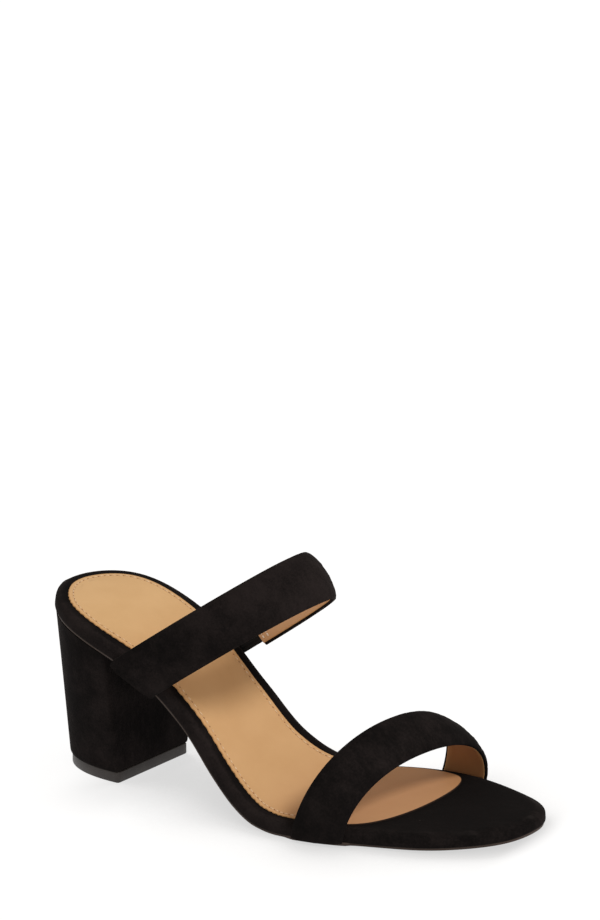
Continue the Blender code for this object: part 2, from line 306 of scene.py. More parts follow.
class Skin:
    """A mesh in the making: points on the last, faces, and values kept on the points.

    Edges that bend more than SHARP_DEG degrees stay sharp.
    """

    SHARP_DEG = 50.0

    def __init__(self) -> None:
        """Starts with no points."""
        self.points: list[np.ndarray] = []
        self.faces: list[Sequence[int]] = []
        self.values: dict[str, list[float]] = {}

    def add(self, points: np.ndarray, **values: np.ndarray | float) -> list[int]:
        """Adds points.

        Args:
            points: points in millimetres on the last.
            values: named values of the points, one for all or one for each.

        Returns:
            The numbers of the new points.
        """
        first = len(self.points)
        self.points.extend(points)
        for name, value in values.items():
            self.values.setdefault(name, []).extend(np.broadcast_to(value, len(points)))
        return list(range(first, len(self.points)))

    def bridge(self, first: Sequence[int], second: Sequence[int]) -> None:
        """Joins two closed rings with quads.

        They face out where the rings run anticlockwise, seen from the second ring's side.

        Args:
            first: numbers of one ring's points.
            second: numbers of the other's, in the same order.
        """
        count = len(first)
        for i in range(count):
            j = (i + 1) % count
            self.faces.append((first[i], first[j], second[j], second[i]))

    def close(self, ring: Sequence[int]) -> None:
        """Closes a ring with one face."""
        self.faces.append(list(ring))

    def piece(self, name: str, material: bpy.types.Material) -> bpy.types.Object:
        """Makes the mesh and its object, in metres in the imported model's frame.

        Args:
            name: the piece's name.
            material: its material.

        Returns:
            The new object, linked to the scene.
        """
        mesh = bpy.data.meshes.new(name)
        mesh.from_pydata(((np.array(self.points) - ORIGIN) * MM).tolist(), [], self.faces)
        for key, column in self.values.items():
            mesh.attributes.new(key, "FLOAT", "POINT").data.foreach_set("value", column)
        mesh.materials.append(material)
        mesh.shade_smooth()
        mesh.set_sharp_from_angle(angle=math.radians(self.SHARP_DEG))
        return linked(name, mesh)


class Value:
    """A number on a shader socket: its operators add Math nodes."""

    def __init__(self, shade: "Shade", socket: bpy.types.NodeSocket) -> None:
        """Wraps a socket of a shade's tree."""
        self.shade = shade
        self.socket = socket

    def math(self, operation: str, first: "Value | float", second: "Value | float") -> "Value":
        """Adds one Math node."""
        node = self.shade.node("ShaderNodeMath", {"operation": operation}, {0: first, 1: second})
        return Value(self.shade, node.outputs[0])

    def __add__(self, other: "Value | float") -> "Value":
        """Sum."""
        return self.math("ADD", self, other)

    __radd__ = __add__

    def __sub__(self, other: "Value | float") -> "Value":
        """Difference."""
        return self.math("SUBTRACT", self, other)

    def __rsub__(self, other: float) -> "Value":
        """Difference from a number."""
        return self.math("SUBTRACT", other, self)

    def __mul__(self, other: "Value | float") -> "Value":
        """Product."""
        return self.math("MULTIPLY", self, other)

    __rmul__ = __mul__

    def between(self, low: float, high: float) -> "Value":
        """Rises softly from 0 where the value is low to 1 where it is high."""
        node = self.shade.node("ShaderNodeMapRange", {"interpolation_type": "SMOOTHSTEP"},
                               {"Value": self, "From Min": low, "From Max": high})
        return Value(self.shade, node.outputs[0])


Input = Value | bpy.types.NodeSocket | float | str | tuple


class NodeTree:
    """A node tree in the making, of a material or of Geometry Nodes."""

    def __init__(self, tree: bpy.types.NodeTree) -> None:
        """Takes the tree to add to."""
        self.tree = tree

    def feed(self, socket: bpy.types.NodeSocket, value: Input) -> None:
        """Links a socket, or sets its value.

        Args:
            socket: the socket to feed.
            value: a link or a value; a colour gets its alpha here.
        """
        if isinstance(value, Value):
            value = value.socket
        if isinstance(value, bpy.types.NodeSocket):
            self.tree.links.new(value, socket)
        elif isinstance(value, tuple) and socket.type == "RGBA":
            socket.default_value = (*value, 1.0)
        else:
            socket.default_value = value

    def node(self, kind: str, settings: dict[str, object],
             inputs: dict[str | int, Input]) -> bpy.types.Node:
        """Adds a node.

        Args:
            kind: the node's type.
            settings: its own settings, set before its sockets.
            inputs: values or links of its sockets, by name or number.

        Returns:
            The new node.
        """
        node = self.tree.nodes.new(kind)
        for key, value in settings.items():
            setattr(node, key, value)
        for key, value in inputs.items():
            by_name = [s for s in node.inputs if s.name == key and s.enabled]
            self.feed(by_name[0] if by_name else node.inputs[key], value)
        return node


class Shade(NodeTree):
    """The node tree of one material, ending in its Principled shader."""

    def __init__(self, name: str) -> None:
        """Makes the material with its Principled shader."""
        self.material = bpy.data.materials.new(name)
        self.material.use_nodes = True
        super().__init__(self.material.node_tree)
        self.principled = self.tree.nodes["Principled BSDF"]

    def place(self) -> bpy.types.NodeSocket:
        """The piece's own coordinates, in metres."""
        return self.node("ShaderNodeTexCoord", {}, {}).outputs["Object"]

    def kept(self, name: str) -> Value:
        """A value kept on the mesh's points."""
        node = self.node("ShaderNodeAttribute", {"attribute_name": name}, {})
        return Value(self, node.outputs["Fac"])

    def noise(self, size: float, detail: float, stretch: Triple = (1.0, 1.0, 1.0)) -> Value:
        """Soft noise.

        Args:
            size: size of its patches in millimetres.
            detail: finer octaves.
            stretch: how much finer it is along each axis.

        Returns:
            A value about 0.5.
        """
        mapped = self.node("ShaderNodeMapping", {}, {"Vector": self.place(), "Scale": stretch})
        node = self.node("ShaderNodeTexNoise", {}, {
            "Vector": mapped.outputs[0], "Scale": 1 / (size * MM), "Detail": detail})
        return Value(self, node.outputs["Fac"])

    def cells(self, size: float) -> bpy.types.Node:
        """A Voronoi node whose cells have a size in millimetres."""
        return self.node("ShaderNodeTexVoronoi", {"feature": "F1"}, {
            "Vector": self.place(), "Scale": 1 / (size * MM)})

    def blend(self, share: Value, first: Input, second: Input) -> bpy.types.NodeSocket:
        """Mixes two colours.

        Args:
            share: how much of the second colour shows.
            first: colour at 0.
            second: colour at 1.

        Returns:
            The mixed colour's socket.
        """
        node = self.node("ShaderNodeMix", {"data_type": "RGBA"}, {0: share, 6: first, 7: second})
        return node.outputs[2]

    def relief(self, height: Value, depth: float, strength: float) -> bpy.types.NodeSocket:
        """A bump.

        Args:
            height: its height from 0 to 1.
            depth: what 1 stands for, in millimetres.
            strength: share of the bump that shows.

        Returns:
            The normal's socket.
        """
        node = self.node("ShaderNodeBump", {}, {
            "Height": height, "Distance": depth * MM, "Strength": strength})
        return node.outputs[0]

    def finish(self, **inputs: Input) -> bpy.types.Material:
        """Feeds the Principled shader.

        Args:
            inputs: values or links of its sockets, whose names have underlines for spaces.

        Returns:
            The finished material.
        """
        for name, value in inputs.items():
            self.feed(self.principled.inputs[name.replace("_", " ")], value)
        return self.material


@dataclass(frozen=True)
class Suede:
    """Black suede: a short nap in soft patches, with a painted highlight and some darker parts.

    Patches, streaks, tufts, fibres, scuffs, the pitch of the lint and the pile are in millimetres.
    """
    name: str
    dark: Colour = (0.0044, 0.0038, 0.0037)
    # Pale end of the nap, which the painted highlight also reaches
    pale_nap_and_highlight: Colour = (0.0186, 0.0142, 0.0134)
    worn: Colour = (0.019, 0.016, 0.015)
    lint: Colour = (0.32, 0.30, 0.28)
    sheen: Colour = (0.80, 0.72, 0.70)
    patch: float = 17.0
    streak: float = 5.0
    streak_stretch: Triple = (1.0, 2.2, 1.0)
    tuft: float = 0.9
    fibre: float = 0.28
    scuff: float = 7.0
    lint_pitch: float = 9.0
    pile: float = 0.22
    patch_share: float = 0.40
    streak_share: float = 0.20
    even_share: float = 0.08
    tuft_share: float = 0.7
    fibre_share: float = 0.5
    # Share of the painted highlight on rims and crests
    highlight_share: float = 0.30
    # How much darker the nap is where the mesh marks it darker
    darkened_share: float = 0.62
    scuff_share: float = 0.8

    def material(self) -> bpy.types.Material:
        """Makes the material.

        Returns:
            The finished material.
        """
        shade = Shade(self.name)
        patches = shade.noise(self.patch, 3.0).between(0.30, 0.72)
        streaks = shade.noise(self.streak, 2.0, self.streak_stretch).between(0.35, 0.75)
        tufts = shade.noise(self.tuft, 2.0)
        fibres = shade.noise(self.fibre, 1.0)
        nap = patches * self.patch_share + streaks * self.streak_share + self.even_share
        nap = nap + (tufts - 0.5) * self.tuft_share + (fibres - 0.5) * self.fibre_share
        # Painted highlight: paler nap on the footbed's rim and on the instep strap's crest
        nap = nap + shade.kept("rim") * self.highlight_share
        # Darker inward from the footbed's edge, and low down on the front strap
        nap = nap * (1 - shade.kept("darkened") * self.darkened_share)
        colour = shade.blend(nap.between(-0.1, 1.1), self.dark, self.pale_nap_and_highlight)
        scuffs = shade.noise(self.scuff, 2.0).between(0.36, 0.80)
        wear = shade.kept("wear") * scuffs * self.scuff_share
        colour = shade.blend(wear, colour, self.worn)
        flecks = shade.cells(self.lint_pitch)
        near = Value(shade, flecks.outputs["Distance"]).between(0.034, 0.022)
        some = Value(shade, shade.node("ShaderNodeSeparateColor", {}, {
            "Color": flecks.outputs["Color"]}).outputs[0]).between(0.76, 0.78)
        return shade.finish(
            Base_Color=shade.blend(near * some, colour, self.lint),
            Roughness=0.82 + tufts * 0.14 - wear * 0.20,
            Normal=shade.relief(tufts * 0.6 + fibres * 0.4, self.pile, 0.55),
            Specular_IOR_Level=0.02,
            Sheen_Weight=0.031,
            Sheen_Roughness=0.35,
            Sheen_Tint=self.sheen)


@dataclass(frozen=True)
class TanLeather:
    """Smooth tan leather with a fine grain; its cut edge is dark in front and pale elsewhere.

    Patches, mottles, pores, the depth of the grain and the two edges are in millimetres.
    """
    name: str
    body: Colour = (0.600, 0.376, 0.181)
    warm: Colour = (0.550, 0.336, 0.154)
    # Colour of the painted shade on the sock
    painted_shade: Colour = (0.345, 0.115, 0.045)
    raw_edge: Colour = (0.500, 0.275, 0.115)
    # Near-black colour of the sock's cut edge in front
    dark_edge: Colour = (0.024, 0.014, 0.010)
    patch: float = 22.0
    mottle: float = 2.4
    pore: float = 0.75
    grain: float = 0.05
    cut_edge: Pair = (0.55, 0.15)
    rubbed_edge: Pair = (3.2, 0.8)
    rubbed_share: float = 0.25
    # Shares of the painted shade: over the arch and forefoot, and more under the front strap
    painted_shade_share: float = 0.4
    front_painted_shade_share: float = 0.08

    def material(self) -> bpy.types.Material:
        """Makes the material.

        Returns:
            The finished material.
        """
        shade = Shade(self.name)
        patches = shade.noise(self.patch, 3.0)
        mottle = shade.noise(self.mottle, 2.0)
        pores = Value(shade, shade.cells(self.pore).outputs["Distance"])
        edge = shade.kept("edge")
        front = shade.kept("front")
        body = shade.blend(patches.between(0.3, 0.7) * 0.7 + mottle * 0.3, self.warm, self.body)
        cut = shade.blend(front, self.raw_edge, self.dark_edge)
        rim = edge.between(*self.cut_edge)
        rubbed = edge.between(*self.rubbed_edge) * (1 - front) * self.rubbed_share
        # Painted shade: darker on the sock's arch and forefoot, and more under the front strap
        painted_shade = shade.kept("tread") * self.painted_shade_share + front * self.front_painted_shade_share
        body = shade.blend(painted_shade, body, self.painted_shade)
        colour = shade.blend(rim, shade.blend(rubbed, body, self.raw_edge), cut)
        return shade.finish(
            Base_Color=colour,
            Roughness=0.50 + mottle * 0.12 + rim * 0.25,
            Normal=shade.relief(pores * 0.5 + mottle * 0.6, self.grain, 0.22),
            Specular_IOR_Level=0.12)


@dataclass(frozen=True)
class SoleBoard:
    """Dark brown leather board, scuffed below and with a polished edge."""
    name: str
    body: Colour = (0.040, 0.027, 0.021)
    worn: Colour = (0.085, 0.060, 0.046)
    rubbed: Colour = (0.052, 0.038, 0.032)
    patch: float = 14.0
    scratch: float = 2.2
    scratch_stretch: Triple = (0.12, 1.6, 1.0)
    scratch_depth: float = 0.05
    polished_edge: Pair = (1.2, 0.1)

    def material(self) -> bpy.types.Material:
        """Makes the material.

        Returns:
            The finished material.
        """
        shade = Shade(self.name)
        patches = shade.noise(self.patch, 4.0)
        scratch = shade.noise(self.scratch, 3.0, self.scratch_stretch)
        edge = shade.kept("edge").between(*self.polished_edge)
        worn = patches.between(0.35, 0.75) * 0.6 + scratch.between(0.55, 0.75) * 0.4
        below = shade.blend(worn, self.body, self.worn)
        return shade.finish(
            Base_Color=shade.blend(edge * patches.between(0.2, 0.8), below, self.rubbed),
            Roughness=0.56 - edge * 0.12 + scratch * 0.12,
            Normal=shade.relief(scratch, self.scratch_depth, 0.35),
            Specular_IOR_Level=0.12)


@dataclass(frozen=True)
class LiftRubber:
    """Dark grey-brown satin rubber with fine moulding marks."""
    name: str
    body: Colour = (0.026, 0.0205, 0.0185)
    dusty: Colour = (0.042, 0.035, 0.031)
    dust: float = 6.0
    grit: float = 0.5
    mark: float = 1.2
    mark_stretch: Triple = (0.15, 0.15, 3.0)
    mark_depth: float = 0.05

    def material(self) -> bpy.types.Material:
        """Makes the material.

        Returns:
            The finished material.
        """
        shade = Shade(self.name)
        dust = shade.noise(self.dust, 4.0).between(0.35, 0.7)
        grit = shade.noise(self.grit, 1.0)
        marks = shade.noise(self.mark, 1.0, self.mark_stretch)
        return shade.finish(
            Base_Color=shade.blend(dust * 0.7 + marks * 0.3, self.body, self.dusty),
            Roughness=0.40 + grit * 0.14,
            Normal=shade.relief(grit * 0.5 + marks * 0.5, self.mark_depth, 0.35),
            Specular_IOR_Level=0.35)


@dataclass(frozen=True)
class ElasticWeb:
    """Black woven elastic: rubber cords under a fine cover of thread."""
    name: str
    body: Colour = (0.005, 0.0045, 0.0045)
    thread: Colour = (0.013, 0.012, 0.012)
    weave: float = 0.45
    weave_stretch: Triple = (1.0, 1.0, 2.0)
    weave_depth: float = 0.10

    def material(self) -> bpy.types.Material:
        """Makes the material.

        Returns:
            The finished material.
        """
        shade = Shade(self.name)
        weave = shade.noise(self.weave, 1.0, self.weave_stretch)
        # Lighter on the ribs' ridges and darker in their grooves
        ribs = shade.kept("rib")
        return shade.finish(
            Base_Color=shade.blend(ribs * 0.6 + weave * 0.4, self.body, self.thread),
            Roughness=0.70 + weave * 0.2,
            Normal=shade.relief(weave, self.weave_depth, 0.6),
            Specular_IOR_Level=0.15,
            Sheen_Weight=0.02)


@dataclass(frozen=True)
class Thread:
    """Waxed sewing thread, twisted, with a slight shine."""
    name: str
    body: Colour = (0.70, 0.50, 0.30)
    shaded: Colour = (0.56, 0.36, 0.19)
    twist: float = 0.5
    twist_stretch: Triple = (1.0, 2.0, 1.0)
    twist_depth: float = 0.08

    def material(self) -> bpy.types.Material:
        """Makes the material.

        Returns:
            The finished material.
        """
        shade = Shade(self.name)
        twist = shade.noise(self.twist, 1.0, self.twist_stretch)
        return shade.finish(
            Base_Color=shade.blend(twist.between(0.3, 0.7), self.shaded, self.body),
            Roughness=0.50 + twist * 0.2,
            Normal=shade.relief(twist, self.twist_depth, 0.5))


@dataclass(frozen=True)
class FloorPaper:
    """White studio paper that glows evenly, with a painted soft shadow close to what stands on it.

    The painted shadow fades out behind the heel and past the toe, at places along the frame
    in millimetres.
    """
    name: str
    body: Colour = (0.30, 0.30, 0.30)
    shaded: Colour = (0.29, 0.29, 0.29)
    contact: Colour = (0.70, 0.70, 0.70)
    contact_reach: float = 43.0
    contact_range: Pair = (1.0, 0.67)
    contact_samples: int = 4
    heel_fade: Pair = (-98.0, -58.0)
    toe_fade: Pair = (119.0, 106.0)
    patch: float = 400.0
    glow: float = 0.87

    def material(self) -> bpy.types.Material:
        """Makes the material.

        Returns:
            The finished material.
        """
        shade = Shade(self.name)
        open_sky = shade.node("ShaderNodeAmbientOcclusion", {"samples": self.contact_samples}, {
            "Distance": self.contact_reach * MM}).outputs["AO"]
        x = Value(shade, shade.node("ShaderNodeSeparateXYZ", {}, {0: shade.place()}).outputs[0])
        # Painted contact shadow: the glow turns darker where the floor is hemmed in close by
        shadow = Value(shade, open_sky).between(*self.contact_range)
        for start, end in (self.heel_fade, self.toe_fade):
            shadow = shadow * x.between(start * MM, end * MM)
        return shade.finish(
            Base_Color=shade.blend(shade.noise(self.patch, 1.0), self.shaded, self.body),
            Roughness=0.9,
            Specular_IOR_Level=0.0,
            Emission_Color=shade.blend(shadow, (1.0, 1.0, 1.0), self.contact),
            Emission_Strength=self.glow)


class Palette:
    """The shoe's materials, made once and shared by its pieces."""

    def __init__(self) -> None:
        """Makes every material."""
        self.suede = Suede("black_suede").material()
        self.tan = TanLeather("tan_leather").material()
        # Shaded copy of the tan leather: painted shade on the front strap's lining
        self.shaded_tan = TanLeather("front_lining_shaded_leather", body=(0.370, 0.176, 0.074),
                                     warm=(0.310, 0.142, 0.059)).material()
        # Lit copy of the tan leather: painted light on the instep strap's lining
        self.lit_tan = TanLeather("instep_lining_lit_leather", body=(0.682, 0.420, 0.237),
                                   warm=(0.620, 0.372, 0.200)).material()
        self.board = SoleBoard("sole_board").material()
        self.rubber = LiftRubber("lift_rubber").material()
        self.elastic = ElasticWeb("elastic_web").material()
        self.thread = Thread("pale_thread").material()
        # Paler copy of the thread: painted light for the instep lining's end stitches, which lie in
        # shade
        self.lit_thread = Thread("lit_thread", body=(0.95, 0.87, 0.76),
                                   shaded=(0.80, 0.69, 0.55)).material()
        # Dark beads of painted shade where the sock's needle holes are
        self.hole_shade = Thread("needle_hole_shade", body=(0.27, 0.105, 0.040),
                           shaded=(0.17, 0.065, 0.024)).material()


class StitchTree(NodeTree):
    """Geometry Nodes tree that lays one thread stitch on every point of a seam."""

    SEED = 7
    SEGMENTS = 8
    RINGS = 6
    LEAST_SCALE = 0.9
    MOST_SCALE = 1.1

    def __init__(self) -> None:
        """Builds the tree with named inputs for the stitch's sizes and material."""
        super().__init__(bpy.data.node_groups.new("stitch_row", "GeometryNodeTree"))
        self.inputs: dict[str, str] = {}
        self.socket("Seam", "NodeSocketGeometry")
        self.socket("Stitch Length", "NodeSocketFloat")
        self.socket("Thread Thickness", "NodeSocketFloat")
        self.socket("Thread", "NodeSocketMaterial")
        self.tree.interface.new_socket("Stitches", in_out="OUTPUT",
                                       socket_type="NodeSocketGeometry")
        self.wire()

    def socket(self, name: str, kind: str) -> None:
        """Adds an input and keeps its identifier."""
        made = self.tree.interface.new_socket(name, in_out="INPUT", socket_type=kind)
        self.inputs[name] = made.identifier

    def way(self, name: str) -> bpy.types.NodeSocket:
        """A direction kept on the seam's points."""
        node = self.node("GeometryNodeInputNamedAttribute", {"data_type": "FLOAT_VECTOR"},
                         {"Name": name})
        return next(s for s in node.outputs if s.name == "Attribute" and s.enabled)

    def wire(self) -> None:
        """Joins the tree's nodes, from the seam's points to real stitches."""
        given = self.node("NodeGroupInput", {}, {}).outputs
        # A bead of width 1, which the stitch's sizes then stretch
        bead = self.node("GeometryNodeMeshUVSphere", {}, {
            "Segments": self.SEGMENTS, "Rings": self.RINGS, "Radius": 1 / 2})
        size = self.node("ShaderNodeCombineXYZ", {}, {
            "X": given["Stitch Length"], "Y": given["Thread Thickness"],
            "Z": given["Thread Thickness"]})
        stitch = self.node("GeometryNodeTransform", {}, {
            "Geometry": bead.outputs["Mesh"], "Scale": size.outputs[0]})
        dots = self.node("GeometryNodeMeshToPoints", {}, {"Mesh": given["Seam"]})
        turn = self.node("FunctionNodeAxesToRotation",
                         {"primary_axis": "X", "secondary_axis": "Z"},
                         {"Primary Axis": self.way("along"), "Secondary Axis": self.way("out")})
        vary = self.node("FunctionNodeRandomValue", {"data_type": "FLOAT"}, {
            "Min": self.LEAST_SCALE, "Max": self.MOST_SCALE, "Seed": self.SEED})
        spread = next(s for s in vary.outputs if s.enabled)
        laid = self.node("GeometryNodeInstanceOnPoints", {}, {
            "Points": dots.outputs[0], "Instance": stitch.outputs[0],
            "Rotation": turn.outputs[0], "Scale": spread})
        real = self.node("GeometryNodeRealizeInstances", {}, {"Geometry": laid.outputs[0]})
        smooth = self.node("GeometryNodeSetShadeSmooth", {}, {"Geometry": real.outputs[0]})
        dressed = self.node("GeometryNodeSetMaterial", {}, {
            "Geometry": smooth.outputs[0], "Material": given["Thread"]})
        self.node("NodeGroupOutput", {}, {"Stitches": dressed.outputs[0]})

    def sew(self, name: str, seam: Seam, stitch: Stitch,
            thread: bpy.types.Material) -> bpy.types.Object:
        """Sews a row of stitches.

        Args:
            name: the piece's name.
            seam: places of the stitches.
            stitch: the stitch, with its sizes in millimetres.
            thread: material of the thread.

        Returns:
            The stitches as one plain mesh object.
        """
        mesh = bpy.data.meshes.new(name + "_seam")
        mesh.from_pydata(((seam.points - ORIGIN) * MM).tolist(), [], [])
        for key, ways in (("along", seam.along), ("out", seam.out)):
            layer = mesh.attributes.new(key, "FLOAT_VECTOR", "POINT")
            layer.data.foreach_set("vector", ways.astype(np.float32).ravel())
        source = linked(name + "_seam", mesh)
        modifier = source.modifiers.new("stitches", "NODES")
        modifier.node_group = self.tree
        modifier[self.inputs["Stitch Length"]] = stitch.length * MM
        modifier[self.inputs["Thread Thickness"]] = stitch.thickness * MM
        modifier[self.inputs["Thread"]] = thread
        graph = bpy.context.evaluated_depsgraph_get()
        sewn = bpy.data.meshes.new_from_object(source.evaluated_get(graph), depsgraph=graph)
        bpy.data.objects.remove(source, do_unlink=True)
        sewn.name = name
        return linked(name, sewn)


def hand_over(piece: bpy.types.Object, slot: str, *nodes: str) -> None:
    """Rides a piece on the shoe's only body and says what it stands for.

    Args:
        piece: the finished piece.
        slot: the record's material slot; not used.
        nodes: CAD nodes that it replaces.
    """
    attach(piece, "root")
    if nodes:
        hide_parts(*nodes)
    LOG.info("%s: %d faces, for %s", piece.name, len(piece.data.polygons),
             ", ".join(nodes) or "no node")


@dataclass(frozen=True)
class Last:
    """The form the shoe is made on: its tread side over the floor and the sole's outlines."""
    length: float = 227.0
    flex_skew: float = 0.18
    arch_run: float = 90.0
    toe_run: float = 60.0
    toe_spring: float = 3.5
    tread_end: float = 157.0
    spring_power: float = 1.6
    slope_step: float = 0.5
    side_rungs: int = 48
    tread: tuple[Height, ...] = (
        Height(0, 73.0),
        Height(20, 69.5),
        Height(40, 63.0),
        Height(60, 53.0),
        Height(80, 35.8),
        Height(100, 15.8),
        Height(115, 5.7),
        Height(126, 1.4),
        Height(137, 0.0),
        Height(157, 0.0),
    )
    footbed: tuple[Section, ...] = (
        Section(0, 0.0, 0.0),
        Section(15, -13.0, 16.0),
        Section(30, -26.0, 28.0),
        Section(45, -32.0, 32.0),
        Section(60, -29.5, 29.5),
        Section(75, -27.5, 25.5),
        Section(90, -35.0, 30.0),
        Section(105, -35.5, 44.5),
        Section(120, -28.0, 52.0),
        Section(135, -21.0, 48.0),
        Section(150, -10.0, 40.5),
        Section(165, 3.0, 31.5),
        Section(180, 20.0, 20.0),
    )
    sock_back: float = 5.8
    sock_front: float = 179.5
    sock: tuple[Section, ...] = (
        Section(0, 0.0, 0.0),
        Section(15, -11.0, 11.6),
        Section(30, -21.5, 21.9),
        Section(45, -26.5, 25.9),
        Section(60, -25.5, 24.4),
        Section(75, -22.5, 20.4),
        Section(90, -24.0, 18.9),
        Section(105, -30.0, 23.9),
        Section(120, -31.5, 35.8),
        Section(135, -28.5, 44.6),
        Section(150, -19.5, 46.5),
        Section(165, 1.0, 42.0),
        Section(180, 27.0, 27.0),
    )

    def height(self, x: np.ndarray, y: np.ndarray) -> np.ndarray:
        """Height of the tread side over the floor.

        Args:
            x: places along the shoe.
            y: places across it.

        Returns:
            The heights.
        """
        knots = np.array([row.x for row in self.tread])
        values = np.array([row.z for row in self.tread])
        grow = np.clip(x / self.arch_run, 0, 1)
        die = np.clip((self.length - x) / self.toe_run, 0, 1)
        along = x - self.flex_skew * y * grow * die
        toe = np.clip((along - self.tread_end) / (self.length - self.tread_end), 0, None)
        level = hermite(knots, values, steady_slopes(knots, values), along)
        return level + self.toe_spring * toe**self.spring_power

    def square(self, plan: np.ndarray) -> np.ndarray:
        """Unit normals of the tread side, leaning along the shoe only.

        Args:
            plan: places on the plan.

        Returns:
            One normal for each place.
        """
        x, y = plan[:, 0], plan[:, 1]
        ahead = self.height(x + self.slope_step, y)
        behind = self.height(x - self.slope_step, y)
        slope = (ahead - behind) / (2 * self.slope_step)
        return unit(np.stack([-slope, np.zeros(len(plan)), np.ones(len(plan))], axis=1))

    def lifted(self, plan: np.ndarray, height: np.ndarray | float) -> np.ndarray:
        """Points that stand a height over the tread side, square to it.

        Args:
            plan: places on the plan.
            height: one height, or one for each place.

        Returns:
            The points.
        """
        floor = np.stack([plan[:, 0], plan[:, 1], self.height(plan[:, 0], plan[:, 1])], axis=1)
        return floor + self.square(plan) * np.broadcast_to(height, len(plan))[:, None]

    def outline(self, rows: Sequence[Section], start: float, end: float,
                rungs: int) -> np.ndarray:
        """Closed plan outline: heel back, outer side, toe tip, then back along the inner side.

        Args:
            rows: the outline's sections.
            start: its back end.
            end: its front end.
            rungs: number of sections to make.

        Returns:
            The outline's points, twice as many as the rungs.
        """
        knots = np.radians([row.turn for row in rows])
        turns = np.linspace(0.0, math.pi, rungs + 1)
        x = start + (end - start) * (1 - np.cos(turns)) / 2
        sides = []
        for side in ("outer", "inner"):
            values = np.array([getattr(row, side) for row in rows])
            y = hermite(knots, values, even_slopes(knots, values), turns)
            sides.append(np.stack([x, y], axis=1))
        return np.concatenate([sides[0], sides[1][-2:0:-1]])

    def footbed_outline(self, rungs: int) -> np.ndarray:
        """Outline of the footbed."""
        return self.outline(self.footbed, 0.0, self.length, rungs)

    def sock_outline(self, rungs: int) -> np.ndarray:
        """Outline of the sock lining."""
        return self.outline(self.sock, self.sock_back, self.sock_front, rungs)

    def side_point(self, x: float, side: Side, clear: float) -> np.ndarray:
        """Plan point just outside the footbed's edge.

        Args:
            x: place along the shoe.
            side: side of the foot.
            clear: distance from the edge.

        Returns:
            The point.
        """
        plan = self.footbed_outline(self.side_rungs)
        normals = outward(plan)
        tip = self.side_rungs
        part = slice(0, tip + 1) if side is Side.OUTER else slice(tip, None)
        order = np.argsort(plan[part, 0])
        at, edge, out = plan[part, 0][order], plan[part, 1][order], normals[part][order]
        away = np.array([np.interp(x, at, out[:, 0]), np.interp(x, at, out[:, 1])])
        return np.array([x, np.interp(x, at, edge)]) + away * clear


# Back edge and front edge of each strap
FRONT_EDGES = (
    StrapEdge(139.0, 160.0, 43.5, 75.0, 2.1, 0.09),
    StrapEdge(161.0, 182.0, 29.0, 79.0, 2.2, 0.02),
)
INSTEP_EDGES = (
    StrapEdge(46.0, 52.0, 81.8, 36.5, 2.45, 0.05),
    StrapEdge(65.0, 73.0, 76.0, 36.5, 2.4, 0.02),
)


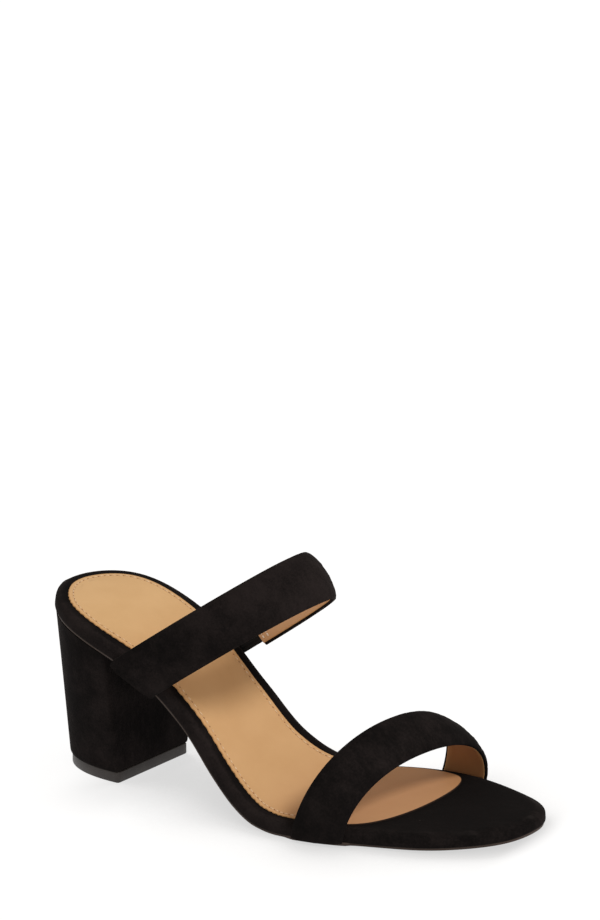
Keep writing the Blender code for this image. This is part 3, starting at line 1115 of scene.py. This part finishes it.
@dataclass(frozen=True)
class Sole:
    """Outsole, suede-wrapped footbed and tan sock, laid on each other along the last.

    A pair of places is where a value rises from 0 to 1: a run's lie along the shoe, and a start's
    or an end's are distances in from the layer's edge.
    """
    last: Last
    across: int = 22
    crown_power: int = 4
    ripple_run: float = 1.5

    # Outsole
    outsole_thick: float = 1.6
    outsole_inset: float = 0.8
    outsole_rungs: int = 150
    outsole_rims: tuple[Rim, ...] = (
        Rim(0.6, 0.0), Rim(0.25, 0.06), Rim(0.05, 0.2), Rim(0.0, 0.4), Rim(0.0, 0.75),
        Rim(0.1, 0.95), Rim(0.4, 1.0))
    swell: float = 1.2
    swell_run: float = 4.0

    # Footbed and its suede
    footbed_top: float = 7.3
    footbed_low: float = 1.15
    footbed_rungs: int = 260
    footbed_waves: tuple[Wave, ...] = (Wave(0.09, 7.3), Wave(0.07, 3.1, 1.0))
    tuck: float = 0.75
    tuck_rise: float = 0.22
    tuck_rings: int = 6
    roll: float = 2.8
    roll_rise: float = 0.42
    roll_rings: int = 11
    toe_spread: float = 0.8
    toe_spread_run: Pair = (185.0, 222.0)
    wear_run: Pair = (196.0, 216.0)
    wear_start: Pair = (0.4, 1.6)
    wear_end: Pair = (4.2, 3.0)
    # Distances in from the edge where the footbed's suede turns darker
    darkened_start: Pair = (2.0, 6.0)
    # Painted highlight on the footbed's rim: where it fades along the shoe and in from the edge
    highlight_run: Pair = (150.0, 110.0)
    highlight_end: Pair = (2.8, 1.6)

    # Sock and its stitches
    sock_top: float = 8.0
    sock_crown: float = 0.15
    sock_rungs: int = 420
    sock_rims: tuple[Rim, ...] = (
        Rim(0.15, 0.0), Rim(0.0, 0.3), Rim(0.0, 0.72), Rim(0.18, 0.95), Rim(0.6, 1.0),
        Rim(1.0, 1.0), Rim(1.55, 0.97), Rim(1.8, 0.91), Rim(2.0, 0.89), Rim(2.2, 0.91),
        Rim(2.5, 0.97), Rim(3.1, 1.01), Rim(4.5, 1.04))
    plain_run: Pair = (132.0, 150.0)
    plain_narrowing: float = 0.5
    # Painted shade on the sock: a share on the arch, and all of it from the ball to the toe
    arch_painted_shade: float = 0.35
    arch_painted_shade_run: Pair = (35.0, 75.0)
    ball_painted_shade_run: Pair = (108.0, 145.0)
    top_stitch: Stitch = Stitch(2.0, 0.66, shift=0.0, depth=0.02)
    # Painted shade of the needle holes: dark beads sunk into the sock between the stitches
    needle_hole_shade: Stitch = Stitch(0.85, 0.50, shift=0.5, depth=0.11)
    stitch_inset: float = 2.0
    stitch_pitch: float = 2.9
    stitch_end: float = 140.0
    scallop: float = 0.19
    scallop_run: Pair = (6.0, 16.0)
    scallop_fade: float = 128.0

    def layer(self, plan: np.ndarray, rims: Sequence[Rim], base: float, thick: float,
              crown: float = 0.0, plain: np.ndarray | float = 0.0,
              ripple: np.ndarray | float = 0.0, spread: np.ndarray | float = 1.0) -> Skin:
        """A sole layer: rings up its edge, closed above and below by strips across the shoe.

        Args:
            plan: its smooth outline.
            rims: rings of its edge, from the bottom up.
            base: height of its bottom over the tread side.
            thick: its thickness.
            crown: how far its top swells up in the middle.
            plain: share by which the edge's top is level, with no channel in it.
            ripple: how far the edge waves out, which dies away further in.
            spread: how many times wider the edge's rings are set in.

        Returns:
            The layer's skin, with each point's distance from the edge, and plain as its front.
        """
        count, rungs = len(plan), len(plan) // 2
        plain, ripple, spread = (np.broadcast_to(v, count) for v in (plain, ripple, spread))
        normals = outward(plan)
        skin = Skin()
        rings = []
        for rim in rims:
            level = plain if rim.inset > self.ripple_run else 0.0
            rise = rim.rise + (1 - rim.rise) * level
            out = ripple * max(0.0, 1 - rim.inset / self.ripple_run) - rim.inset * spread
            ring = self.last.lifted(plan + normals * out[:, None], base + thick * rise)
            rings.append(skin.add(ring, edge=rim.inset * spread, front=plain))
        for lower, upper in zip(rings, rings[1:]):
            skin.bridge(lower, upper)
        shares = np.arange(1, self.across) / self.across
        for ring, rim, puff in ((rings[0], rims[0], 0.0), (rings[-1], rims[-1], crown)):
            flat = plan - normals * (rim.inset * spread)[:, None]
            rise = rim.rise + (1 - rim.rise) * (plain if puff else 0.0)
            tops = base + thick * np.broadcast_to(rise, count)
            rows = [[ring[0]] * (self.across + 1)]
            for i in range(1, rungs):
                outer, inner = flat[i], flat[count - i]
                width = np.linalg.norm(inner - outer)
                between = outer + (inner - outer) * shares[:, None]
                swelling = puff * (1 - plain[i]) * (1 - (2 * shares - 1)**self.crown_power)
                points = self.last.lifted(between, tops[i] + swelling)
                away = rim.inset * spread[i] + width * np.minimum(shares, 1 - shares)
                middle = skin.add(points, edge=away, front=plain[i])
                rows.append([ring[i], *middle, ring[count - i]])
            rows.append([ring[rungs]] * (self.across + 1))
            for row, ahead in zip(rows, rows[1:]):
                for j in range(self.across):
                    face = [row[j], ahead[j], ahead[j + 1], row[j + 1]]
                    face = list(dict.fromkeys(face))
                    skin.faces.append(face if ring is rings[-1] else face[::-1])
        return skin

    def stand_out(self, plan: np.ndarray) -> np.ndarray:
        """How far the outsole stands out around an outline, more under the front strap's ends.

        Args:
            plan: the footbed's outline.

        Returns:
            A distance for each point.
        """
        total = np.zeros(len(plan))
        is_outer = np.arange(len(plan)) <= len(plan) // 2
        back, front = FRONT_EDGES
        for side, start, end in ((is_outer, back.outer_x, front.outer_x),
                                 (~is_outer, back.inner_x, front.inner_x)):
            away = np.maximum(start - plan[:, 0], plan[:, 0] - end)
            total += np.where(side, smooth_step(self.swell_run, 0.0, away), 0.0)
        return self.swell * total - self.outsole_inset

    def build_outsole(self, palette: Palette) -> bpy.types.Object:
        """Thin leather-board sheet with a rounded edge.

        Args:
            palette: the shoe's materials.

        Returns:
            The piece.
        """
        plan = self.last.footbed_outline(self.outsole_rungs)
        plan = plan + outward(plan) * self.stand_out(plan)[:, None]
        skin = self.layer(plan, self.outsole_rims, 0.0, self.outsole_thick)
        return skin.piece("outsole", palette.board)

    def build_footbed(self, palette: Palette) -> bpy.types.Object:
        """Padded board wrapped in suede, with a rolled rim and a softly uneven side.

        Args:
            palette: the shoe's materials.

        Returns:
            The piece.
        """
        plan = self.last.footbed_outline(self.footbed_rungs)
        uneven = waviness(self.footbed_waves, run_lengths(plan))
        spread = 1 + self.toe_spread * smooth_step(*self.toe_spread_run, plan[:, 0])
        rims = []
        for turn in np.linspace(0, math.pi / 2, self.tuck_rings):
            rise = self.tuck_rise * (1 - math.cos(turn))
            rims.append(Rim(self.tuck * (1 - math.sin(turn)), rise))
        for turn in np.linspace(0, math.pi / 2, self.roll_rings):
            rise = 1 - self.roll_rise * (1 - math.sin(turn))
            rims.append(Rim(self.roll * (1 - math.cos(turn)), rise))
        skin = self.layer(plan, rims, self.footbed_low, self.footbed_top - self.footbed_low,
                          ripple=uneven, spread=spread)
        x = np.array(skin.points)[:, 0]
        edge = np.array(skin.values["edge"])
        worn_band = smooth_step(*self.wear_start, edge) * smooth_step(*self.wear_end, edge)
        skin.values["wear"] = list(worn_band * smooth_step(*self.wear_run, x))
        # Darker inward from the edge
        skin.values["darkened"] = list(smooth_step(*self.darkened_start, edge))
        # Painted highlight on the rim, from the heel to the ball
        skin.values["rim"] = list(smooth_step(*self.highlight_end, edge)
                                  * smooth_step(*self.highlight_run, x))
        return skin.piece("footbed", palette.suede)

    def scallops(self, plan: np.ndarray) -> np.ndarray:
        """How far the sock's outer edge waves out between its stitches.

        Args:
            plan: the sock's outline.

        Returns:
            A distance for each point.
        """
        outer = np.arange(len(plan)) < len(plan) // 2
        x = plan[:, 0]
        sewn = smooth_step(*self.scallop_run, x)
        sewn = sewn * smooth_step(self.stitch_end, self.scallop_fade, x)
        wave = np.cos(2 * math.pi * run_lengths(plan) / self.stitch_pitch)
        return self.scallop * wave * sewn * outer

    def build_sock(self, palette: Palette) -> bpy.types.Object:
        """Tan leather lining with a sewn channel inside its edge.

        Args:
            palette: the shoe's materials.

        Returns:
            The piece.
        """
        plan = self.last.sock_outline(self.sock_rungs)
        plain = smooth_step(*self.plain_run, plan[:, 0])
        skin = self.layer(plan, self.sock_rims, self.footbed_top, self.sock_top - self.footbed_top,
                          crown=self.sock_crown, plain=plain, ripple=self.scallops(plan),
                          spread=1 - self.plain_narrowing * plain)
        x = np.array(skin.points)[:, 0]
        # Painted shade, kept as the sock's tread value: some on the arch, all from the ball forward
        arch_part = self.arch_painted_shade * smooth_step(*self.arch_painted_shade_run, x)
        ball_part = (1 - self.arch_painted_shade) * smooth_step(*self.ball_painted_shade_run, x)
        skin.values["tread"] = list(arch_part + ball_part)
        return skin.piece("sock", palette.tan)

    def sock_seam(self, stitch: Stitch) -> Seam:
        """Places inside the sock's edge, a stitch apart, up to the front strap.

        Args:
            stitch: the stitch that is sewn there.

        Returns:
            The seam.
        """
        plan = self.last.sock_outline(self.sock_rungs)
        line = plan - outward(plan) * self.stitch_inset
        line = np.concatenate([line, line[:1]])
        spots = evenly(line, round(run_lengths(line)[-1] / self.stitch_pitch))[:-1]
        along = unit(np.roll(spots, -1, axis=0) - np.roll(spots, 1, axis=0))
        spots = spots + (np.roll(spots, -1, axis=0) - spots) * stitch.shift
        kept = spots[:, 0] < self.stitch_end
        height = self.sock_top - stitch.depth
        points = self.last.lifted(spots[kept], height)
        out = self.last.square(spots[kept])
        ahead = self.last.lifted(spots[kept] + along[kept], height) - points
        return Seam(points, unit(ahead), out)

    def build(self, palette: Palette, tree: StitchTree) -> None:
        """Builds and dresses the sole's pieces.

        Args:
            palette: the shoe's materials.
            tree: the tree that sews the stitches.
        """
        hand_over(self.build_outsole(palette), "sole_board", "outsole")
        footbed = self.build_footbed(palette)
        hand_over(footbed, "suede", "footbed")
        hand_over(self.build_sock(palette), "tan_leather", "sock")
        for name, stitch, thread in (("sock_stitches", self.top_stitch, palette.thread),
                                     ("needle_hole_shades", self.needle_hole_shade, palette.hole_shade)):
            hand_over(tree.sew(name, self.sock_seam(stitch), stitch, thread), "tan_leather")


@dataclass(frozen=True)
class Strap:
    """A padded suede band over the foot, with a tan lining inside.

    Turns are angles of its arch in radians, shares are parts of its width, and the suede changes
    between two heights over the floor, from darker below to a painted highlight above.
    """
    last: Last
    name: str
    edges: tuple[StrapEdge, StrapEdge]

    # Path over the foot
    stop: float = 0.0
    foot: float = 2.4
    clear: float = 0.3
    skirts: Pair = (0.75, 0.75)
    steps: int = 150
    crowding: float = 0.25
    edge_turn: float = 0.02
    small: float = 0.001

    # Padded suede band
    thick: float = 2.6
    end_thick: float = 1.9
    skive_run: float = 0.12
    waves: tuple[Wave, ...] = (Wave(0.06, 1 / 9), Wave(0.05, 1 / 17, 0.7))
    widest: float = 0.42
    crown: float = 1.1
    face_points: int = 25
    crown_square: float = 5.5
    inside_square: float = 40.0
    fold: float = 0.0
    fold_turn: float = 0.20
    fuzz: float = 0.07
    fuzz_seed: int = 11
    # Heights over the floor between the darker low part and the painted highlight
    tone_rise: Pair = (8.0, 36.0)
    # How much darker the suede is low down
    low_darkening: float = 0.45
    # Share of the painted highlight on the crest
    crest_highlight: float = 0.0

    # Lining and the stitches at its inner end
    lining: float = 0.40
    lining_lap: float = 0.05
    lining_inset: float = 0.045
    lining_points: int = 17
    lining_square: float = 30.0
    end_stitch: Stitch = Stitch(1.7, 0.80, depth=-0.05)
    end_stitches: int = 12
    end_seam_shares: Pair = (0.09, 0.865)
    end_seam_turns: Pair = (0.022, 0.055)

    def edge(self, across: float) -> StrapEdge:
        """The strap's sizes at a share of its width."""
        return StrapEdge(*(a + (b - a) * across for a, b in zip(*self.edges)))

    def path(self, across: float, turns: np.ndarray) -> np.ndarray:
        """Points along the strap's inner face.

        Args:
            across: share of the width, from the back edge.
            turns: from pi at the outer end to 0 at the inner end.

        Returns:
            The points.
        """
        edge = self.edge(across)
        ends = np.array([self.last.side_point(edge.outer_x, Side.OUTER, self.clear),
                         self.last.side_point(edge.inner_x, Side.INNER, self.clear)])
        outer, inner = self.last.lifted(ends, self.foot)
        lean = math.radians(edge.lean)
        up = np.array([math.cos(lean), 0.0, math.sin(lean)])
        sideways, upward = arch(turns, edge.fullness)
        sideways = sideways * (1 + edge.shoulder * np.clip(np.sin(turns), 0, 1))
        middle, half = (outer + inner) / 2, (inner - outer) / 2
        return middle + half * sideways[:, None] + up * (edge.rise * upward)[:, None]

    def outward(self, across: float, turns: np.ndarray) -> np.ndarray:
        """Unit normals of the inner face, away from the foot.

        Args:
            across: share of the width.
            turns: places along the strap.

        Returns:
            The normals.
        """
        inside = np.clip(turns, self.edge_turn, math.pi - self.edge_turn)
        along = self.path(across, inside - self.small) - self.path(across, inside + self.small)
        wide = self.path(across + self.small, inside) - self.path(across - self.small, inside)
        return unit(np.cross(wide, along))

    def turns(self) -> np.ndarray:
        """Places along the strap, closer together where it leaves the sole.

        Returns:
            The turns, from the outer end to the inner one.
        """
        even = np.linspace(0, 1, self.steps + 1)
        shares = even + self.crowding * (smooth_step(0, 1, even) - even)
        return math.pi - (math.pi - self.stop) * shares

    def thickness(self, turns: np.ndarray) -> np.ndarray:
        """Thickness of the padding: softly uneven, skived at the ends, folded at the outer one.

        Args:
            turns: places along the strap.

        Returns:
            The thickness at each place.
        """
        share = np.clip(np.minimum(turns, math.pi - turns) / (self.skive_run * math.pi), 0, 1)
        uneven = waviness(self.waves, turns)
        fold = self.fold * smooth_step(self.fold_turn, 0.0, math.pi - turns)
        return self.end_thick + (self.thick - self.end_thick) * share + uneven * share + fold

    def loop(self, points: int, squareness: float) -> tuple[np.ndarray, np.ndarray]:
        """Section of a padded band: flat inside, crowned outside, with round edges.

        Args:
            points: number of points on each face.
            squareness: the higher, the flatter the crown.

        Returns:
            Shares of the width, and signed shares of the half thickness.
        """
        x = np.sin(np.linspace(-1, 1, points) * math.pi / 2)
        full = np.clip(1 - np.abs(x)**squareness, 0, 1)
        flat = -np.sqrt(np.clip(1 - np.abs(x)**self.inside_square, 0, 1))
        crown = np.sqrt(full)[::-1][1:-1]
        width = np.concatenate([x, x[::-1][1:-1]])
        return (width + 1) / 2, np.concatenate([flat, crown])

    def band(self, turns: np.ndarray, across: np.ndarray, out: np.ndarray,
             skirts: Pair, **values: np.ndarray) -> Skin:
        """Sweeps a section along the strap.

        Args:
            turns: places along the strap.
            across: share of the width of each point of the section.
            out: distance of each point from the inner face, for each place.
            skirts: lengths by which the outer and the inner end go on straight down.
            values: values of the section's points to keep on the mesh.

        Returns:
            The band's skin.
        """
        columns = []
        for i, share in enumerate(across):
            path = self.path(share, turns)
            columns.append(path + self.outward(share, turns) * out[:, i][:, None])
        rows = list(np.stack(columns, axis=1))
        outer, inner = skirts
        if outer:
            rows.insert(0, rows[0] - self.last.square(rows[0][:, :2]) * outer)
        if inner:
            rows.append(rows[-1] - self.last.square(rows[-1][:, :2]) * inner)
        skin = Skin()
        rings = [skin.add(row, **values) for row in rows]
        for ring, ahead in zip(rings, rings[1:]):
            skin.bridge(ahead, ring)
        skin.close(rings[0])
        skin.close(rings[-1][::-1])
        return skin

    def build_suede(self, palette: Palette) -> bpy.types.Object:
        """The padded suede band, folded round its edges: darker low down, painted lighter high up.

        Args:
            palette: the shoe's materials.

        Returns:
            The piece.
        """
        turns = self.turns()
        across, level = self.loop(self.face_points, self.crown_square)
        level = np.where(level > 0, level * (1 + self.crown * (1 - (2 * across - 1)**2)), level)
        thick = self.thickness(turns)[:, None]
        middle = self.lining + self.widest * (thick - self.lining)
        out = np.where(level < 0, middle + level * (middle - self.lining),
                       middle + level * (thick - middle))
        nap = np.random.default_rng(self.fuzz_seed).normal(0.0, self.fuzz, out.shape)
        out = out + np.where(level > 0, nap, 0.0)
        skin = self.band(turns, across, out, self.skirts)
        risen = smooth_step(*self.tone_rise, np.array(skin.points)[:, 2])
        # Painted highlight high up on the crest
        skin.values["rim"] = list(self.crest_highlight * risen)
        # Darker low down
        skin.values["darkened"] = list(self.low_darkening * (1 - risen))
        return skin.piece(self.name, palette.suede)

    def build_lining(self, leather: bpy.types.Material) -> bpy.types.Object:
        """The thin tan lining on the band's inner face.

        Args:
            leather: its material.

        Returns:
            The piece.
        """
        turns = self.turns()
        share, level = self.loop(self.lining_points, self.lining_square)
        across = self.lining_inset + (1 - 2 * self.lining_inset) * share
        width = np.linalg.norm(self.path(1.0, turns) - self.path(0.0, turns), axis=1).mean()
        edge = width * np.minimum(share, 1 - share)
        out = (level + 1) / 2 * (self.lining + self.lining_lap)
        out = np.broadcast_to(out, (len(turns), len(across)))
        skin = self.band(turns, across, out, self.skirts, edge=edge,
                         front=np.zeros(len(across)))
        return skin.piece(self.name.replace("strap", "lining"), leather)

    def end_seam(self) -> Seam:
        """Places of the two rows of stitches that hold the lining's inner end.

        Returns:
            The seam, across the strap on its inner face.
        """
        shares = np.linspace(*self.end_seam_shares, self.end_stitches)
        turns = self.stop + np.array(self.end_seam_turns)
        points = np.stack([self.path(share, turns) for share in shares])
        out = -np.stack([self.outward(share, turns) for share in shares])
        along = unit(np.gradient(points, axis=0))
        points = points - out * self.end_stitch.depth
        return Seam(*(rows.reshape(-1, 3) for rows in (points, along, out)))

    def build(self, palette: Palette, leather: bpy.types.Material) -> None:
        """Builds and dresses the strap and its lining.

        Args:
            palette: the shoe's materials.
            leather: material of the lining.
        """
        suede = self.build_suede(palette)
        hand_over(suede, "suede", self.name)
        hand_over(self.build_lining(leather), "tan_leather")


@dataclass(frozen=True)
class Elastic:
    """The short elastic between the instep strap's inner end and the footbed."""
    strap: Strap
    length: float = 16.5
    thick: float = 1.4
    low: float = 0.2
    margin: float = 0.08
    ribs: int = 13
    rib_depth: float = 0.16
    rib_points: int = 6
    rows: int = 40
    tuck: float = 0.05
    skirts: Pair = (0.0, 0.75)

    def build(self, palette: Palette) -> None:
        """Builds and dresses the ribbed band.

        Args:
            palette: the shoe's materials.
        """
        turns = np.linspace(self.strap.stop + self.tuck, 0.0, self.rows)
        share = np.linspace(0, 1, self.rib_points * self.ribs + 1)
        rib = (1 + np.cos(2 * math.pi * self.ribs * share)) / 2
        across = self.margin + (1 - 2 * self.margin) * np.concatenate([share, share[::-1]])
        inside = self.low + self.rib_depth * rib
        outside = self.low + self.thick - self.rib_depth * rib
        section = np.concatenate([inside, outside[::-1]])
        out = np.broadcast_to(section, (len(turns), len(section)))
        skin = self.strap.band(turns, across, out, self.skirts,
                               rib=1 - np.concatenate([rib, rib[::-1]]))
        piece = skin.piece("strap_elastic", palette.elastic)
        hand_over(piece, "elastic_web", "strap_elastic")


@dataclass(frozen=True)
class Heel:
    """Suede-covered block heel on a rubber top lift."""
    last: Last
    lift_thick: float = 4.9
    lift_back: float = 7.3
    lift_round: float = 2.3
    lift_edge: float = 0.35
    lift_edge_bow: float = 0.3
    margin: float = 0.8
    top_inset: float = 0.7
    seam: float = 0.05
    foot: tuple[Rim, ...] = (Rim(0.7, 0.0), Rim(0.3, 0.2), Rim(0.1, 0.6), Rim(0.0, 1.2),
                             Rim(0.0, 3.2))
    seat_rungs: int = 200
    steps: int = 44
    breast_steps: int = 30
    levels: int = 26

    def closed(self, ring: np.ndarray) -> np.ndarray:
        """Closes a D-shaped ring along the breast and rounds its two corners.

        Args:
            ring: plan points from the outer breast corner round the back to the inner one.

        Returns:
            The closed ring, with each point drawn to the middle of its neighbours.
        """
        breast = np.linspace(ring[-1], ring[0], self.breast_steps + 1)[1:-1]
        closed = np.concatenate([ring, breast])
        beside = np.roll(closed, 1, axis=0) + np.roll(closed, -1, axis=0)
        return closed / 2 + beside / 4

    def lift_ring(self, grow: float) -> np.ndarray:
        """Plan of the top lift: a straight breast and a rounded back.

        Args:
            grow: how far it is grown at the sides and back.

        Returns:
            The open ring, with evenly spread points on each half.
        """
        inward, backward = arch(np.linspace(0.0, math.pi, 2 * self.steps + 1), self.lift_round)
        y = -inward * (LIFT_HALF_WIDTH + grow)
        front = BREAST_X + BREAST_SKEW * y
        x = front - (front - self.lift_back + grow) * backward
        ring = np.stack([x, y], axis=1)
        halves = evenly(ring[:self.steps + 1], self.steps), evenly(ring[self.steps:], self.steps)
        return np.concatenate([halves[0], halves[1][1:]])

    def seat_ring(self) -> np.ndarray:
        """Plan of the heel's top: the footbed's outline from the breast round the back.

        Returns:
            The open ring, with as many points as the top lift's.
        """
        plan = self.last.footbed_outline(self.seat_rungs)
        inset = plan - outward(plan) * self.top_inset
        outer = inset[:self.seat_rungs + 1]
        inner = np.concatenate([inset[self.seat_rungs:], inset[:1]])[::-1]
        halves = []
        for side in (outer, inner):
            ahead = side[:, 0] - (BREAST_X + BREAST_SKEW * side[:, 1])
            end = int(np.argmax(ahead > 0))
            share = -ahead[end - 1] / (ahead[end] - ahead[end - 1])
            corner = side[end - 1] + (side[end] - side[end - 1]) * share
            halves.append(evenly(np.concatenate([side[:end], corner[None]]), self.steps))
        return np.concatenate([halves[0][::-1], halves[1][1:]])

    def stacked(self, rings: Sequence[tuple[np.ndarray, np.ndarray]]) -> Skin:
        """A solid between closed plan rings at given heights.

        Args:
            rings: plan points and heights of each ring, from the bottom up.

        Returns:
            The solid's skin.
        """
        skin = Skin()
        numbers = []
        for plan, z in rings:
            points = np.column_stack([plan, np.broadcast_to(z, len(plan))])
            numbers.append(skin.add(points))
        for lower, upper in zip(numbers, numbers[1:]):
            skin.bridge(upper, lower)
        skin.close(numbers[0])
        skin.close(numbers[-1][::-1])
        return skin

    def shrunk(self, ring: np.ndarray, inset: float) -> np.ndarray:
        """A closed ring set in from its edge."""
        return ring - outward(ring) * inset

    def build_block(self, palette: Palette) -> bpy.types.Object:
        """The suede-covered block, flaring up to the heel seat.

        Args:
            palette: the shoe's materials.

        Returns:
            The piece.
        """
        foot = self.closed(self.lift_ring(self.margin))
        seat = self.closed(self.seat_ring())
        floor = self.lift_thick + self.seam
        ceiling = self.last.height(seat[:, 0], seat[:, 1]) - self.seam
        rings = []
        for rim in self.foot:
            share = rim.rise / (ceiling - floor)
            plan = self.shrunk(foot, rim.inset) + (seat - foot) * share[:, None]
            rings.append((plan, np.full(len(plan), floor + rim.rise)))
        start = self.foot[-1].rise / (ceiling - floor)
        for level in np.linspace(0, 1, self.levels + 1)[1:]:
            share = start + (1 - start) * level
            plan = foot + (seat - foot) * share[:, None]
            rings.append((plan, floor + (ceiling - floor) * share))
        return self.stacked(rings).piece("heel", palette.suede)

    def build_lift(self, palette: Palette) -> bpy.types.Object:
        """The rubber wear piece, with fine worn edges.

        Args:
            palette: the shoe's materials.

        Returns:
            The piece.
        """
        ring = self.closed(self.lift_ring(0.0))
        edge, top = self.lift_edge, self.lift_thick
        bow = self.lift_edge_bow * edge
        rings = []
        for inset, z in ((edge, 0.0), (bow, bow), (0.0, edge), (0.0, top / 2),
                         (0.0, top - edge), (bow, top - bow), (edge, top)):
            rings.append((self.shrunk(ring, inset), np.full(len(ring), z)))
        return self.stacked(rings).piece("top_lift", palette.rubber)

    def build(self, palette: Palette) -> None:
        """Builds and dresses the block and its top lift."""
        hand_over(self.build_block(palette), "suede", "heel")
        hand_over(self.build_lift(palette), "lift_rubber", "top_lift")


@dataclass(frozen=True)
class Studio:
    """White paper floor, soft light, and the camera at the photo's angle."""
    light_away: Triple = (0.615, -0.08, 0.76)
    light_spread: float = 14.0
    light_power: float = 1.7
    azimuth: float = 32.0
    elevation: float = 21.5
    distance: float = 2000.0
    aim: Triple = (113.0, 0.0, 35.0)
    aim_pixel: Pair = (284.6, 723.2)
    pixels: Pair = (600.0, 920.0)
    focal_pixels: float = 4686.0
    sensor: float = 36.0
    clip: Pair = (0.1, 50.0)
    floor_name: str = "floor"
    floor_half: float = 6.0
    sky: float = 0.62
    sky_colour: Colour = (1.0, 0.95, 0.90)

    def build_floor(self) -> None:
        """A wide sheet of white paper."""
        half = self.floor_half
        mesh = bpy.data.meshes.new(self.floor_name)
        corners = [(-half, -half, 0), (half, -half, 0), (half, half, 0), (-half, half, 0)]
        mesh.from_pydata(corners, [], [(0, 1, 2, 3)])
        mesh.materials.append(FloorPaper("floor_paper").material())
        floor = linked(self.floor_name, mesh)

    def build_light(self) -> None:
        """An even warm white sky, and a soft light on the shoe from above the toe."""
        world = bpy.data.worlds.new("studio")
        world.use_nodes = True
        sky = world.node_tree.nodes["Background"].inputs
        sky["Color"].default_value = (*self.sky_colour, 1.0)
        sky["Strength"].default_value = self.sky
        bpy.context.scene.world = world
        bpy.context.scene.view_settings.view_transform = "Standard"
        lamp = bpy.data.lights.new("toe_light", "SUN")
        lamp.angle = math.radians(self.light_spread)
        lamp.energy = self.light_power
        thing = linked("toe_light", lamp)
        thing.location = self.light_away
        x, y, z = self.light_away
        tilt = math.atan2(math.hypot(x, y), z)
        thing.rotation_euler = (tilt, 0.0, math.atan2(y, x) + math.pi / 2)
        shoe = bpy.data.collections.new("shoe_pieces")
        for piece in bpy.context.scene.objects:
            if piece.type == "MESH" and piece.name != self.floor_name:
                shoe.objects.link(piece)
        thing.light_linking.receiver_collection = shoe

    def build_camera(self) -> None:
        """A long lens that stands off the shoe and looks a little above it, without roll."""
        turn, tilt = math.radians(self.azimuth), math.radians(self.elevation)
        back = np.array([math.sin(turn) * math.cos(tilt), -math.cos(turn) * math.cos(tilt),
                         math.sin(tilt)])
        place = (np.array(self.aim) - ORIGIN + back * self.distance) * MM
        across = self.aim_pixel[0] - self.pixels[0] / 2
        below = self.aim_pixel[1] - self.pixels[1] / 2
        ray = math.hypot(across, below, self.focal_pixels)
        drop = tilt - math.atan2(below, self.focal_pixels)
        swing = math.asin(across / ray / math.cos(tilt))
        camera = bpy.data.cameras.new("camera")
        camera.sensor_width = self.sensor
        camera.lens = self.focal_pixels * self.sensor / max(self.pixels)
        camera.clip_start, camera.clip_end = self.clip
        thing = linked("camera", camera)
        thing.location = place
        thing.rotation_euler = (math.pi / 2 - drop, 0.0, turn + swing)
        bpy.context.scene.camera = thing

    def build(self) -> None:
        """Builds the floor, the light and the camera."""
        self.build_floor()
        self.build_light()
        self.build_camera()


def elastic_turn(edge: StrapEdge, length: float) -> float:
    """The turn of a strap's arch at a length of elastic from its inner end."""
    return math.asin((length / edge.rise)**(edge.fullness / 2))


def main() -> None:
    """Builds the shoe's pieces in order, then the studio."""
    logging.basicConfig(level=logging.INFO, format="%(name)s %(message)s")
    palette, tree, last = Palette(), StitchTree(), Last()
    Sole(last).build(palette, tree)
    Strap(last, "strap_front", FRONT_EDGES).build(palette, palette.shaded_tan)
    stop = elastic_turn(INSTEP_EDGES[0], Elastic.length)
    # The instep strap gets a painted highlight on its crest, and no darkening low down
    instep = Strap(last, "strap_instep", INSTEP_EDGES, stop=stop, skirts=(2.6, 0.0), fold=0.9,
                   tone_rise=(72.0, 106.0), low_darkening=0.0, crest_highlight=1.0)
    instep.build(palette, palette.lit_tan)
    ends = tree.sew("lining_end_stitches", instep.end_seam(), instep.end_stitch,
                    palette.lit_thread)
    hand_over(ends, "tan_leather")
    Elastic(instep).build(palette)
    Heel(last).build(palette)
    Studio().build()


if __name__ == "__main__":
    main()
